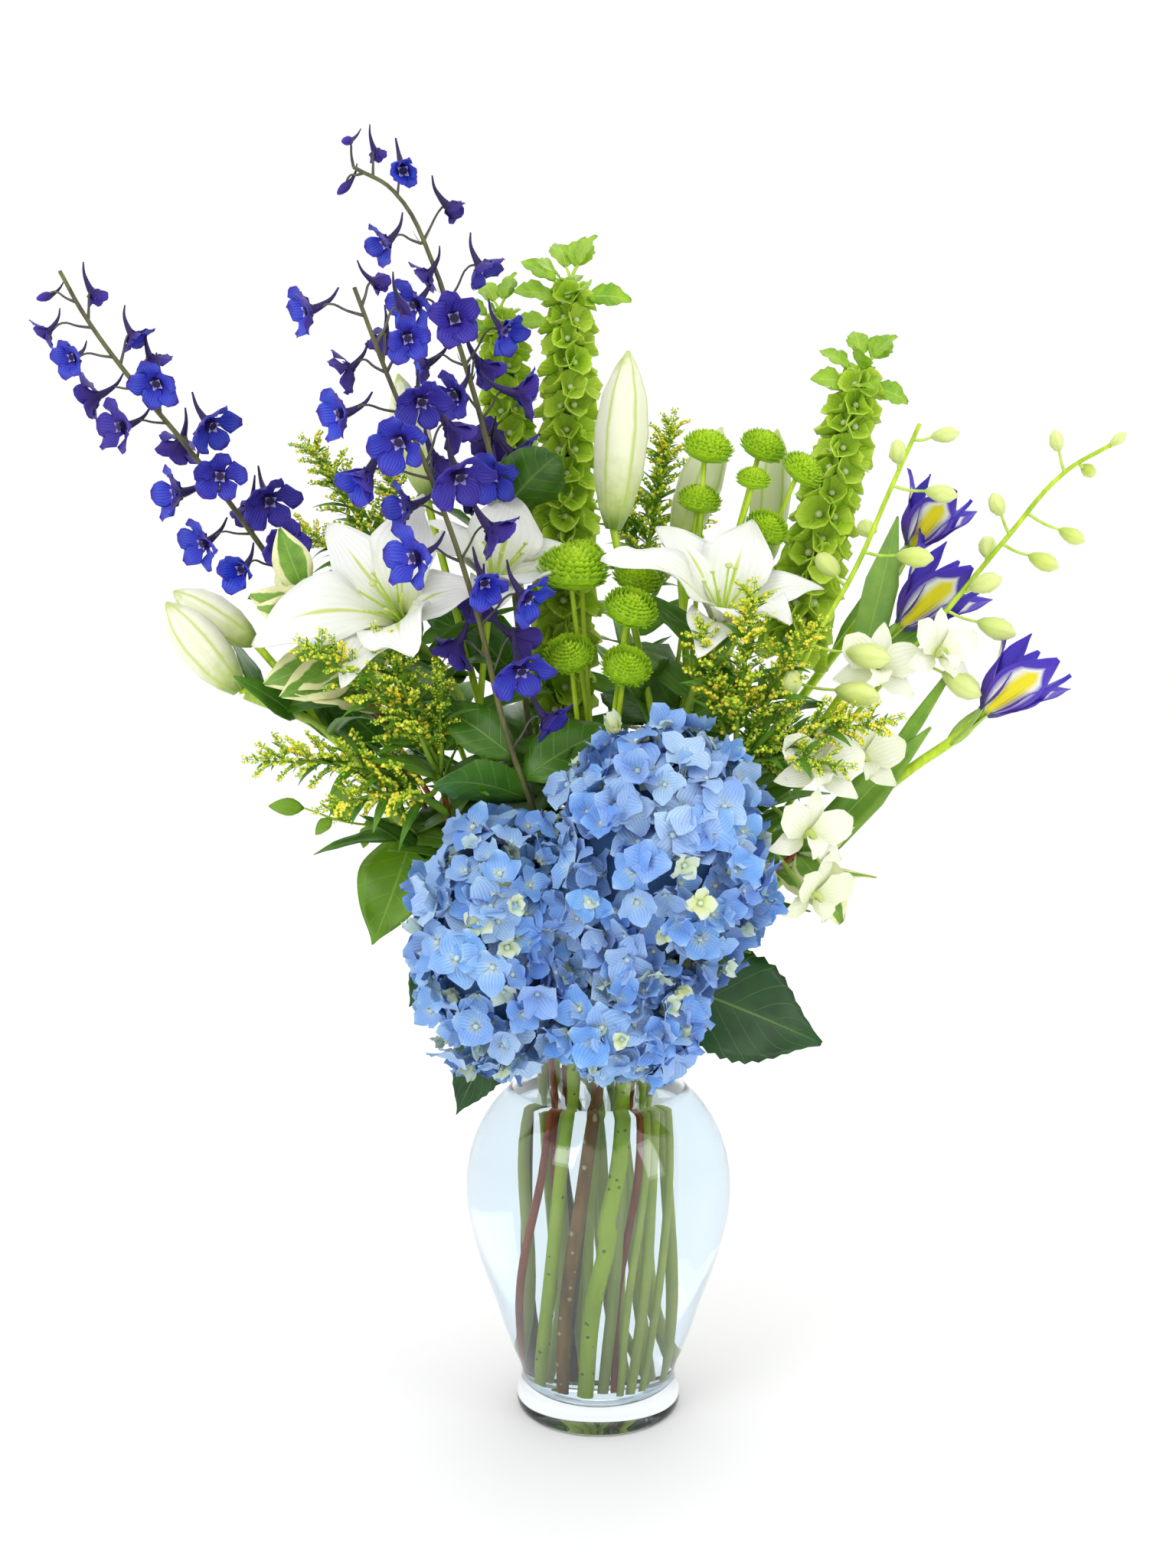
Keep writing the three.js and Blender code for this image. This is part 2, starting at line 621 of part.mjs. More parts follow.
const lilyStemRadius = { foot: 4.2, tip: 3 };
const lilyStems = [
  {
    name: 'left',
    path: stemPath('middle', 8, [[-34, -18, 300], [-62, -24, 380], [-84, -32, 430], [-99, -46, 448]]),
    branches: [
      { from: 0.72, to: [-60, -26, 466] },
      { from: 0.62, to: [-98, 18, 528], bud: [-113, 18, 596], radius: 11 },
    ],
    leaves: [[0.62, [-0.6, 0.3, 0.5], 70, 16]],
  },
  {
    name: 'right',
    path: stemPath('middle', 1, [[28, -20, 300], [42, -24, 380], [56, -26, 430], [65, -31, 447]]),
    branches: [
      { from: 0.66, to: [8, -14, 508], bud: [16, -14, 604], radius: 15 },
      { from: 0.78, to: [46, 26, 500], bud: [71, 34, 568], radius: 13 },
      { from: 0.62, to: [97, 44, 488], bud: [104, 44, 568], radius: 12 },
    ],
    leaves: [[0.6, [0.5, 0.6, 0.4], 66, 15]],
  },
  {
    name: 'far_left',
    path: stemPath('outer', 11, [[-66, -16, 290], [-112, -24, 350], [-150, -30, 398], [-193, -32, 418]]),
    branches: [
      { from: 0.86, to: [-190, -18, 446], bud: [-234, -18, 474], radius: 12 },
      { from: 1, to: [-196, -32, 420], bud: [-234, -34, 468], radius: 13 },
    ],
    leaves: [[0.8, [-0.7, 0.2, 0.6], 62, 15]],
  },
];

function lilyStem({ path, branches, leaves }) {
  const pieces = [strand(path, stemRadii(path, lilyStemRadius), stemSides)];
  for (const { from, to, bud, radius } of branches) {
    const root = alongPath(path, from);
    if (bud) pieces.push(budBranch(root, at(...to), at(...bud), radius));
    else pieces.push(strand([root, at(...to)], [branchRadius, branchRadius], 4));
  }
  for (const leaf of leaves) pieces.push(leafOn(path, ...leaf));
  return pieces;
}

for (const plant of lilyStems) addNode(`lily_stem_${plant.name}`, 0x9dbb5c, 0.55, lilyStem(plant));

// ---------------------------------------------------------------- green button mums

const mumCorners = 10;
const mumLeafWidth = 24;
const mumStemRadius = { foot: 3.4, tip: 2.2 };
const mumStalkRadius = 1.4;
// The stalks part from the stem one below the other.
const mumStalks = { top: 0.99, apart: 0.04, spread: 90 };
// Shares of a head's radius.
const mumForm = {
  notch: 0.8, upper: 0.72, upperNotch: 0.52, upperAt: 0.3, under: 0.55, over: 0.5, neck: 0.4,
};

// Heads are [x, y, z, radius, how far it looks forward].
const mums = [
  {
    name: 'front', path: stemPath('inner', 0, [[0, -18, 300], [-2, -30, 380]]),
    leaves: [
      [0.96, [-0.85, -0.25, 0.45], 52], [0.9, [-0.7, 0.5, 0.3], 46], [0.93, [0.75, 0.35, 0.45], 48],
    ],
    heads: [
      [-14, -52, 484, 19, 0.1], [-10, -16, 492, 14, 0.1], [16, -64, 464, 15, 0.4],
      [20, -34, 480, 14, 0.1], [14, -66, 434, 14, 0.6], [-16, -58, 440, 14, 0.6],
    ],
  },
  {
    name: 'right', path: stemPath('inner', 1, [[24, 6, 330], [54, 6, 430]]),
    leaves: [
      [0.7, [-0.3, 0.85, 0.3], 56], [0.8, [0.7, 0.6, 0.1], 54], [0.88, [0.1, 0.9, 0.5], 50],
      [0.94, [0.9, -0.2, 0.4], 46],
    ],
    heads: [
      [60, -4, 552, 15, 0.1], [92, 10, 554, 14, 0.2], [112, -8, 540, 13, 0.2],
      [56, 2, 524, 13, 0.1], [92, -14, 508, 13, 0.5], [84, -20, 534, 10, 0.1],
    ],
  },
];

// A tight head: a ring of petals, a smaller ring above it that stands between them, and a rounded top.
function mumHead(place, facing, radius) {
  const form = mumForm;
  const upper = { radius: form.upper * radius, notch: form.upperNotch * radius, turned: true };
  return stacked({
    foot: place,
    axis: facing,
    layers: [{ up: 0, radius, notch: form.notch * radius }, { up: form.upperAt * radius, ...upper }],
    sides: mumCorners,
    under: -form.under * radius,
    over: form.over * radius,
  });
}

function mumSpray({ path, heads, leaves }) {
  const pieces = [strand(path, stemRadii(path, mumStemRadius), stemSides)];
  const top = path[path.length - 1];
  heads.forEach(([x, y, z, radius, forward], i) => {
    const place = at(x, y, z);
    const facing = at(x - top.x, 0, mumStalks.spread).normalize().add(at(0, -forward, 0)).normalize();
    const neck = place.clone().addScaledVector(facing, -mumForm.neck * radius);
    const root = alongPath(path, mumStalks.top - mumStalks.apart * i);
    pieces.push(strand([root, neck], [mumStalkRadius, mumStalkRadius], 3));
    pieces.push(mumHead(place, facing, radius));
  });
  for (const [share, along, length] of leaves) {
    pieces.push(leafOn(path, share, along, length, mumLeafWidth, { steps: 2 }));
  }
  return pieces;
}

for (const plant of mums) addNode(`button_mums_${plant.name}`, 0x86b812, 0.7, mumSpray(plant));

// ---------------------------------------------------------------- goldenrod

// Each plume runs from a place on the stem to its tip, with strings of florets on both sides.
const goldenrods = [
  {
    name: 'left', seed: 5, path: stemPath('outer', 12, [[-50, -24, 270], [-78, -24, 330], [-86, -46, 376]]),
    plumes: [
      { from: [-90, -56, 392], tip: [-146, -78, 446] },
      { from: [-96, -52, 372], tip: [-174, -82, 386] },
    ],
    leaves: [[0.86, [0.5, -0.4, 0.8], 48], [0.93, [0.2, -0.5, 0.9], 50], [0.76, [-0.8, -0.4, 0.3], 46]],
  },
  {
    name: 'right', seed: 9, path: stemPath('outer', 2, [[60, -34, 280], [76, -40, 340], [74, -58, 384]]),
    plumes: [{ from: [72, -66, 396], tip: [78, -86, 470] }, { from: [78, -62, 384], tip: [148, -76, 406] }],
    leaves: [[0.9, [-0.6, -0.2, 0.8], 50], [0.8, [0.8, -0.3, 0.5], 44]],
  },
  {
    name: 'back_right', seed: 13, path: stemPath('outer', 7, [[8, 62, 300], [18, 76, 400], [28, 76, 490]]),
    plumes: [{ from: [30, 76, 500], tip: [44, 70, 572] }],
    leaves: [[0.72, [0.3, 0.8, 0.6], 52], [0.84, [-0.5, 0.6, 0.7], 50]],
  },
  {
    name: 'back_left', seed: 17, path: stemPath('outer', 9, [[-54, 44, 300], [-90, 58, 400], [-122, 56, 480]]),
    plumes: [{ from: [-128, 54, 492], tip: [-168, 48, 556] }],
    leaves: [[0.66, [-0.4, 0.8, 0.6], 54], [0.8, [-0.9, 0.2, 0.4], 50]],
  },
];
const plumeStrings = 4;
const beadRadius = 2.3;
const goldenrodLeafWidth = 13;
const goldenrodStemRadius = { foot: 3.4, tip: 2 };
const plumeRadii = [1.9, 1.7, 0.9];
// The strings start this share of the way up the plume, each turned on from the last, and get shorter.
const stringsFrom = 0.18;
const stringTurn = 2.4;
const stringReach = { tip: 15, root: 31, forwards: 0.7, outwards: 0.8 };
const stringForm = { thin: 0.8, sway: 1.4, droop: 5 };
const plumeEnd = { from: -3, to: 14 };

// A short drooping twig of florets, thick at each floret and thin between, with a floret at its tip.
function floretString(root, tip, beads, random) {
  const points = [];
  const radii = [];
  for (let i = 0; i < beads * 2; i += 1) {
    const share = i / (beads * 2 - 1);
    const sway = i % 2 ? stringForm.sway : 0;
    const fall = stringForm.droop * share * share;
    const drift = at((random() - 0.5) * sway, (random() - 0.5) * sway, sway - fall);
    points.push(root.clone().lerp(tip, share).add(drift));
    radii.push(i % 2 ? beadRadius : stringForm.thin);
  }
  return strand(points, radii, 3);
}

function goldenrod({ path, plumes, leaves, seed }) {
  const random = seeded(seed);
  const top = path[path.length - 1];
  const pieces = [strand(path, stemRadii(path, goldenrodStemRadius), stemSides)];
  for (const { from, tip } of plumes) {
    const [root, end] = [at(...from), at(...tip)];
    const axis = end.clone().sub(root);
    const length = axis.length();
    axis.normalize();
    const sideways = axis.clone().cross(at(0, 1, 0)).normalize();
    const outwards = sideways.clone().cross(axis);
    pieces.push(strand([top, root, end], plumeRadii, 3));
    for (let k = 0; k < plumeStrings; k += 1) {
      const share = stringsFrom + ((1 - stringsFrom) * k) / plumeStrings;
      const turn = k * stringTurn;
      const out = sideways.clone().multiplyScalar(Math.cos(turn)).addScaledVector(outwards, Math.sin(turn));
      const start = root.clone().addScaledVector(axis, share * length);
      const reach = stringReach.root + (stringReach.tip - stringReach.root) * share;
      const finish = start.clone().addScaledVector(axis, stringReach.forwards * reach);
      finish.addScaledVector(out, stringReach.outwards * reach);
      pieces.push(floretString(start, finish, 3, random));
    }
    const tipRoot = end.clone().addScaledVector(axis, plumeEnd.from);
    const tipEnd = end.clone().addScaledVector(axis, plumeEnd.to);
    pieces.push(floretString(tipRoot, tipEnd, 2, random));
  }
  for (const [share, along, length] of leaves) {
    pieces.push(leafOn(path, share, along, length, goldenrodLeafWidth, { steps: 2 }));
  }
  return pieces;
}

for (const plant of goldenrods) addNode(`goldenrod_${plant.name}`, 0xb8b21e, 0.8, goldenrod(plant));

// ---------------------------------------------------------------- orchid spikes

// Buds are [x, y, z, half length]; flowers are [x, y, z, facing].
const orchids = [
  {
    name: 'near',
    path: stemPath('middle', 3, [
      [48, -6, 300], [76, -40, 360], [98, -48, 408], [113, -48, 444], [137, -40, 485],
      [156, -30, 526], [174, -20, 564],
    ]),
    buds: [
      [187, -24, 558, 7], [160, -34, 548, 7], [183, -36, 526, 8], [146, -20, 508, 8],
      [168, -44, 492, 9], [124, -28, 488, 9], [142, -56, 440, 11], [100, -64, 426, 11],
      [136, -60, 420, 11],
    ],
    flowers: [
      [114, -74, 380, [0.1, -0.9, 0.3]], [108, -78, 347, [0.4, -0.9, 0]], [112, -72, 314, [0.6, -0.7, -0.2]],
    ],
  },
  {
    name: 'far',
    path: stemPath('outer', 4, [
      [76, 4, 300], [112, -22, 366], [150, -28, 418], [184, -28, 457], [223, -24, 504],
      [253, -21, 538], [278, -20, 553],
    ]),
    buds: [
      [246, -30, 554, 6], [268, -14, 540, 6], [214, -34, 520, 7], [256, -28, 504, 7],
      [214, -14, 498, 8], [240, -32, 490, 8], [208, -36, 478, 9], [216, -30, 454, 10],
      [196, -38, 424, 11],
    ],
    flowers: [
      [181, -44, 440, [0.5, -0.8, 0.2]], [148, -46, 432, [0.1, -0.9, 0.2]], [140, -50, 384, [0.3, -0.9, 0.1]],
    ],
  },
];

const orchidStemRadius = { foot: 3.2, tip: 1.2 };
const orchidFlower = { lobes: 5, tips: 2, radius: 25, notch: 8, cup: 4, back: at(0, -9, 0) };
const orchidBud = { stalk: 1, neck: 1.1, swell: 0.5, swellAt: 0.2, tip: 0.6, stalkRise: 8 };
const flowerStalk = { hang: 4, behind: 4, radii: [1, 1.3] };

function orchidSpike({ path, buds, flowers }) {
  const pieces = [strand(path, stemRadii(path, orchidStemRadius), stemSides)];
  for (const [x, y, z, half] of buds) {
    const place = at(x, y, z);
    const root = nearestOn(path, at(x, y, z - orchidBud.stalkRise));
    const away = place.clone().sub(root).normalize();
    const knots = [-1, orchidBud.swellAt, 1].map((step) => place.clone().addScaledVector(away, step * half));
    const radii = [orchidBud.stalk, orchidBud.neck, orchidBud.swell * half, orchidBud.tip];
    pieces.push(strand([root, ...knots], radii, 4));
  }
  for (const [x, y, z, facing] of flowers) {
    const place = at(x, y, z);
    const axis = at(...facing).normalize();
    const root = nearestOn(path, at(x, y, z + flowerStalk.hang));
    pieces.push(placed(star(orchidFlower), place, axis, at(0.2, 0, 1)));
    const joint = place.clone().addScaledVector(axis, -flowerStalk.behind);
    pieces.push(strand([root, joint], flowerStalk.radii, 3));
  }
  return pieces;
}

for (const plant of orchids) addNode(`orchid_spike_${plant.name}`, 0xdfe9b4, 0.5, orchidSpike(plant));

// ---------------------------------------------------------------- irises

const irises = [
  {
    name: 'back', root: ['outer', 6], above: [[48, 52, 300], [112, 44, 400], [164, 32, 474]],
    base: at(176, 27, 494), tip: at(198, 24, 530),
    blades: [[0.62, [0.7, 0.5, 0.9], 90, 12]],
  },
  {
    name: 'middle', root: ['outer', 5], above: [[68, 30, 300], [112, 14, 374], [148, 8, 428]],
    base: at(166, 6, 450), tip: at(203, 2, 488),
    blades: [[0.72, [0.25, 0.1, 1], 86, 15]],
  },
  {
    name: 'low', root: ['outer', 3], above: [[72, -16, 280], [124, -26, 336], [172, -32, 378]],
    base: at(205, -34, 404), tip: at(240, -36, 438),
    blades: [[0.7, [0.8, -0.05, 0.6], 100, 15], [0.55, [0.75, 0.35, 0.7], 130, 9]],
  },
];

const irisStemRadius = { foot: 4, tip: 3.2 };
const sheathSteps = [-22, -10, 3];
const sheathRadii = [4.2, 6, 2.5];
const sheathFlap = { length: 40, width: 15, rise: 0.2, bend: -0.6, across: 1, steps: 2 };
const flapLean = at(-0.35, -0.35, 0.1);
const irisThroat = { radius: 7, depth: 12, hollow: 3, up: 8, sink: 6 };
// The falls bend away and the standards between them stay upright.
const irisPetals = {
  falls: { share: 1, width: 17, bend: -0.8, spread: 0.45, ring: 4, steps: 3 },
  standards: { share: 0.9, width: 10, bend: -0.1, spread: 0.25, ring: 3, steps: 2 },
  rise: 3,
};

// The stem swells into the sheath that the flower comes out of, and one leaf of the sheath curls away.
function irisStem({ root, above, base, tip, blades }) {
  const away = tip.clone().sub(base).normalize();
  const path = stemPath(...root, above);
  const sheath = sheathSteps.map((reach) => base.clone().addScaledVector(away, reach));
  const radii = [...stemRadii(path, irisStemRadius), ...sheathRadii];
  const pieces = [strand([...path, ...sheath], radii, stemSides)];
  const flap = blade({ ...sheathFlap, outline: outlines.strap });
  pieces.push(placed(flap, sheath[0], away.clone().add(flapLean), at(0.5, 0.8, 0.3)));
  for (const [share, along, length, width] of blades) {
    pieces.push(leafOn(path, share, along, length, width, { outline: outlines.strap }));
  }
  return pieces;
}

function irisBloom({ base, tip }) {
  const away = tip.clone().sub(base);
  const length = away.length();
  away.normalize();
  const sideways = away.clone().cross(at(0, 1, 0)).normalize();
  const forwards = sideways.clone().cross(away);
  const root = base.clone().addScaledVector(away, irisThroat.sink);
  const throat = cupOf(irisThroat.radius, irisThroat.depth, irisThroat.hollow);
  const pieces = [placed(throat, root.clone().addScaledVector(away, irisThroat.up), away)];
  for (let i = 0; i < 6; i += 1) {
    const turn = (i / 6) * 2 * Math.PI;
    const { share, width, bend, spread, ring, steps } = i % 2 ? irisPetals.standards : irisPetals.falls;
    const out = sideways.clone().multiplyScalar(Math.cos(turn)).addScaledVector(forwards, Math.sin(turn));
    const petal = blade({ length: share * length, width, outline: outlines.flare, bend, across: 1, steps });
    const along = away.clone().addScaledVector(out, spread);
    const start = root.clone().addScaledVector(out, ring).addScaledVector(away, irisPetals.rise);
    pieces.push(placed(petal, start, along, out.clone().negate()));
  }
  return pieces;
}

for (const plant of irises) addNode(`iris_bloom_${plant.name}`, 0x5a3fc0, 0.6, irisBloom(plant));
for (const plant of irises) addNode(`iris_stem_${plant.name}`, 0x7fae3e, 0.6, irisStem(plant));

// ---------------------------------------------------------------- leafy stems

// Leaves are [x, y, z of the root, direction, length, width].
const leafyStems = [
  {
    name: 'variegated_left', color: 0x8fae52,
    path: stemPath('middle', 7, [[-60, -4, 300], [-112, -20, 390], [-140, -38, 440], [-158, -44, 474]]),
    leaves: [
      [[-158, -44, 474], [-0.3, -0.2, 0.9], 34, 20], [[-150, -42, 458], [-0.9, -0.4, 0.4], 38, 22],
      [[-144, -40, 448], [0.2, -0.6, 0.9], 34, 18], [[-136, -38, 436], [-0.9, -0.5, -0.2], 46, 26],
      [[-126, -30, 418], [-0.7, -0.7, 0.1], 42, 26], [[-120, -26, 408], [-0.8, 0.6, 0.4], 44, 22],
      [[-154, -44, 466], [-0.6, 0.5, 0.7], 40, 16],
    ],
  },
  {
    name: 'variegated_right', color: 0x8fae52,
    path: stemPath('middle', 2, [[46, -22, 280], [72, -34, 300], [92, -40, 318], [108, -44, 334]]),
    leaves: [
      [[106, -43, 330], [0.4, -0.7, -0.5], 34, 26], [[108, -44, 334], [0.6, -0.3, 0.6], 30, 18],
      [[96, -41, 322], [0.8, 0.3, -0.3], 42, 20], [[90, -39, 316], [0.5, 0.6, 0.5], 38, 16],
    ],
  },
  {
    name: 'foliage_left', color: 0x4d7a22,
    path: stemPath('outer', 8, [[-50, 26, 290], [-84, 22, 350], [-104, 24, 410], [-112, 36, 460]]),
    leaves: [
      [[-50, 26, 290], [-0.75, -0.3, 0.2], 60, 26], [[-66, 24, 320], [-0.7, 0.7, -0.2], 62, 28],
      [[-84, 22, 350], [0.2, 0.9, 0.3], 52, 24], [[-94, 22, 380], [-0.9, 0.5, 0.5], 50, 24],
      [[-104, 24, 410], [0.5, 0.8, 0.4], 50, 22], [[-112, 36, 460], [-0.1, 0.3, 0.9], 48, 20],
      [[-56, 26, 300], [0.1, 0.9, 0.1], 60, 30],
    ],
    broadLeaf: {
      stalk: [-84, 22, 350], root: [-104, -14, 338], along: [-0.3, -0.45, -0.84], length: 62, width: 40,
    },
  },
];

const leafyStemRadius = { foot: 3.2, tip: 1.8 };
const broadStalkRadii = [1.6, 1.3];
// A wider leaf is folded at its rib, and a longer one bends in more steps.
const foldedFrom = 30;
const longFrom = 50;

function leafyStem({ path, leaves, broadLeaf }) {
  const pieces = [strand(path, stemRadii(path, leafyStemRadius), stemSides)];
  for (const [from, along, length, width] of leaves) {
    const leaf = blade({
      length, width, outline: outlines.oval, rise: 0.25, bend: -0.7, fold: 0.18,
      across: width > foldedFrom ? 2 : 1, steps: length > longFrom ? 3 : 2,
    });
    pieces.push(placed(leaf, at(...from), at(...along), at(0, -0.2, 1)));
  }
  if (broadLeaf) {
    const { stalk, root, along, length, width } = broadLeaf;
    const leaf = blade({ length, width, outline: outlines.oval, bend: 0.4, fold: 0.12, steps: 4 });
    const intoLeaf = at(...root).addScaledVector(at(...along), stalkIntoLeaf);
    pieces.push(strand([at(...stalk), intoLeaf], broadStalkRadii, 4));
    pieces.push(placed(leaf, at(...root), at(...along), at(-0.2, -0.9, 0.3)));
  }
  return pieces;
}

for (const plant of leafyStems) addNode(plant.name, plant.color, 0.7, leafyStem(plant));

addNode('water', 0xcfe3ee, 0.05, [lathed(waterProfile)]);

// ---------------------------------------------------------------- the assembly

// Boxes of two solids that come near each other.
function near(a, b) {
  return [0, 1, 2].every((k) => a.min[k] - clearance < b.max[k] && b.min[k] - clearance < a.max[k]);
}

// What an earlier node fills, with a little room round it, is left out of the later ones.
// Of a piece that this parts in two, the larger share stays.
function meshOf({ name, material, pieces }, earlier) {
  let solid = joined(pieces);
  const box = solid.boundingBox();
  for (const other of earlier) {
    if (near(box, other.box)) solid = solid.subtract(other.room);
  }
  const bodies = solid.decompose().sort((a, b) => b.volume() - a.volume());
  const { vertProperties, triVerts } = bodies[0].getMesh();
  const geometry = new THREE.BufferGeometry();
  geometry.setAttribute('position', new THREE.BufferAttribute(vertProperties, 3));
  geometry.setIndex(new THREE.BufferAttribute(triVerts, 1));
  geometry.computeVertexNormals();
  const mesh = new THREE.Mesh(geometry, material);
  mesh.name = name;
  const room = joined([...pieces, ...pieces.map((piece) => grown(piece, clearance))]);
  earlier.push({ box, room });
  return mesh;
}

const bouquet = new THREE.Group();
const earlier = [];
for (const node of nodes) bouquet.add(meshOf(node, earlier));

export default bouquet;
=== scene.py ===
# A mixed bouquet round blue hydrangeas in a clear vase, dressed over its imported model.
# The settings are in millimetres, the meshes in metres. The bouquet faces -Y.
import random
from math import atan2, cos, hypot, pi, radians, sin, sqrt

import bpy
from mathutils import Matrix, Vector


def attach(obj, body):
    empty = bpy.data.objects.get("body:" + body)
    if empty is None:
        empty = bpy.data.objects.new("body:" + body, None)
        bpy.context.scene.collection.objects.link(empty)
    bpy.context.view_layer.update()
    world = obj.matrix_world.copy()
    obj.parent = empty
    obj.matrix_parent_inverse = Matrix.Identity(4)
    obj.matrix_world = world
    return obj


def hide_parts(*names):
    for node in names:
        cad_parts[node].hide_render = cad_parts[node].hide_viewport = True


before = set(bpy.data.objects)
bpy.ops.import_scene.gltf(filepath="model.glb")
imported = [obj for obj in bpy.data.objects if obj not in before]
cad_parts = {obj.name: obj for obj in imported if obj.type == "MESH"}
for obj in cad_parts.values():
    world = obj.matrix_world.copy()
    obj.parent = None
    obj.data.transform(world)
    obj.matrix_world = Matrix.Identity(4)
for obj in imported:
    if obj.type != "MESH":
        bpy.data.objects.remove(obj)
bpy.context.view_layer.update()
print("frame loaded,", len(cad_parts), "nodes")

xAxis, yAxis, zAxis = Vector((1, 0, 0)), Vector((0, 1, 0)), Vector((0, 0, 1))
quarterTurn = Matrix.Rotation(-pi / 2, 4, "X")  # lays what stands along +Z down along +Y


# --- handling shapes

def mm(x, y, z):
    return Vector((x, y, z)) / 1000


def jitter(chance, amount):
    return Vector([chance.uniform(-amount, amount) for _ in range(3)])


def spoke(angle, side=xAxis, front=zAxis):  # the way out at an angle round an axis
    return side * cos(angle) + front * sin(angle)


def sidesOf(axis):
    side = axis.cross(yAxis).normalized()
    return side, side.cross(axis)


def clearSelection():
    bpy.ops.object.select_all(action="DESELECT")


def pick(*shapes):
    clearSelection()
    for shape in shapes:
        shape.select_set(True)
    bpy.context.view_layer.objects.active = shapes[0]


def joinShapes(shapes, name):
    pick(*shapes)
    if len(shapes) > 1:
        bpy.ops.object.join()
    made = bpy.context.view_layer.objects.active
    made.name = made.data.name = name
    return made


def applyModifier(shape, kind, **values):
    pick(shape)
    bpy.ops.object.modifier_add(type=kind)
    modifier = shape.modifiers[-1]
    for key, value in values.items():
        setattr(modifier, key, value)
    bpy.ops.object.modifier_apply(modifier=modifier.name)


def discard(*shapes):
    for shape in shapes:
        bpy.data.objects.remove(shape)


def setTint(shape, tint):  # each copy keeps a shade of its own
    layer = shape.data.attributes.get("tint") or shape.data.attributes.new("tint", "FLOAT", "POINT")
    layer.data.foreach_set("value", [tint] * len(shape.data.vertices))


def dress(shape, *materials):
    for material in materials:
        shape.data.materials.append(material)
    return shape


def standing(place, along, face=zAxis, size=1.0):  # local Y goes along, local Z looks to face
    y = along.normalized()
    x = y.cross(face)
    if x.length < 1e-4:
        x = y.cross(xAxis)
    x.normalize()
    turn = Matrix((x, y, x.cross(y))).transposed().to_4x4()
    return Matrix.Translation(place) @ turn @ Matrix.Scale(size, 4)


def put(shape, matrix, tint=0.5):  # its place goes into the mesh
    shape.data.transform(matrix)
    setTint(shape, tint)
    return shape


def copyTo(pattern, matrix, tint):  # a copy with its own mesh
    copy = pattern.copy()
    copy.data = pattern.data.copy()
    bpy.context.collection.objects.link(copy)
    return put(copy, matrix, tint)


def finishPiece(shapes, name, slotName, *nodes):
    shape = joinShapes(shapes, name)
    bpy.ops.object.shade_smooth()
    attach(shape, "root")
    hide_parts(*nodes)


# --- materials

petalUsual = {  # a petal's settings, where it has none of its own
    "roughness": 0.6, "sheen": 0.15, "mottle": 160, "tintShare": 0.5, "lines": 7, "lineWander": 3.0,
    "lineSharp": 6.0, "lineShare": 0.3, "relief": 0.25,
}
leafUsual = {  # and a leaf's
    "roughness": 0.45, "mottle": 80, "tintShare": 0.4, "slant": 0.18, "veins": 1, "veinSharp": 24.0,
    "veinShare": 0.5, "midribFine": 16.0,
}
patchLook = {"scale": 24, "from": 0.42, "steep": 3.0, "share": 0.75}
paintedWaterLightLook = {"from": 0.21, "perMetre": 25, "share": 0.5}  # painted light: paler from 210 mm down, in the water, for the light the glass keeps from the stems
bumpDepth = 0.0006


def shade(red, green, blue):  # a colour as the eye reads it, 0 to 255
    def linear(value):
        value = value / 255
        return value / 12.92 if value <= 0.04045 else ((value + 0.055) / 1.055) ** 2.4
    return (linear(red), linear(green), linear(blue), 1.0)


def newMaterial(name, **sockets):
    material = bpy.data.materials.new(name)
    material.use_nodes = True
    shader = material.node_tree.nodes["Principled BSDF"]
    for socket, value in sockets.items():
        shader.inputs[socket.replace("_", " ")].default_value = value
    return material


def feed(socket, value):  # with another node's output or a plain value
    if isinstance(value, bpy.types.NodeSocket):
        socket.id_data.links.new(value, socket)
    else:
        socket.default_value = value


def addNode(tree, kind, settings=None, **inputs):
    made = tree.nodes.new("ShaderNode" + kind)
    for key, value in (settings or {}).items():
        setattr(made, key, value)
    for key, value in inputs.items():
        feed(made.inputs[key.replace("_", " ")], value)
    return made


def maths(operation, first, second=0.5, clamp=False):
    tree = (first if isinstance(first, bpy.types.NodeSocket) else second).id_data
    made = addNode(tree, "Math", {"operation": operation, "use_clamp": clamp})
    feed(made.inputs[0], first)
    feed(made.inputs[1], second)
    return made.outputs[0]


def times(first, second, clamp=False):
    return maths("MULTIPLY", first, second, clamp)


def plus(first, second):
    return maths("ADD", first, second)


def minus(first, second, clamp=False):
    return maths("SUBTRACT", first, second, clamp)


def blendColours(share, colour, other):
    made = addNode(share.id_data, "Mix", {"data_type": "RGBA"})
    for place, value in ((0, share), (6, colour), (7, shade(*other))):
        feed(made.inputs[place], value)
    return made.outputs[2]


def colourRun(factor, stops):
    made = addNode(factor.id_data, "ValToRGB", Fac=factor)
    elements = made.color_ramp.elements
    elements.remove(elements[1])
    elements[0].position = stops[0][0]
    elements[0].color = shade(*stops[0][1])
    for place, colour in stops[1:]:
        elements.new(place).color = shade(*colour)
    return made.outputs["Color"]


def grain(tree, scale, detail=3.0, stretch=None):
    coordinates = addNode(tree, "TexCoord").outputs["Object"]
    if stretch:
        coordinates = addNode(tree, "Mapping", Vector=coordinates, Scale=stretch).outputs["Vector"]
    made = addNode(tree, "TexNoise", Vector=coordinates, Scale=scale, Detail=detail, Roughness=0.55)
    return made.outputs["Fac"]


def acrossAndAlong(tree):  # the sheet's own map: across from 0 to 1, along from root to tip
    parts = addNode(tree, "SeparateXYZ", Vector=addNode(tree, "UVMap", {"uv_map": "UVMap"}).outputs["UV"])
    return parts.outputs["X"], parts.outputs["Y"]


def fromMiddle(across):  # 0 down the middle, 1 at both edges
    return times(maths("ABSOLUTE", minus(across, 0.5)), 2.0)


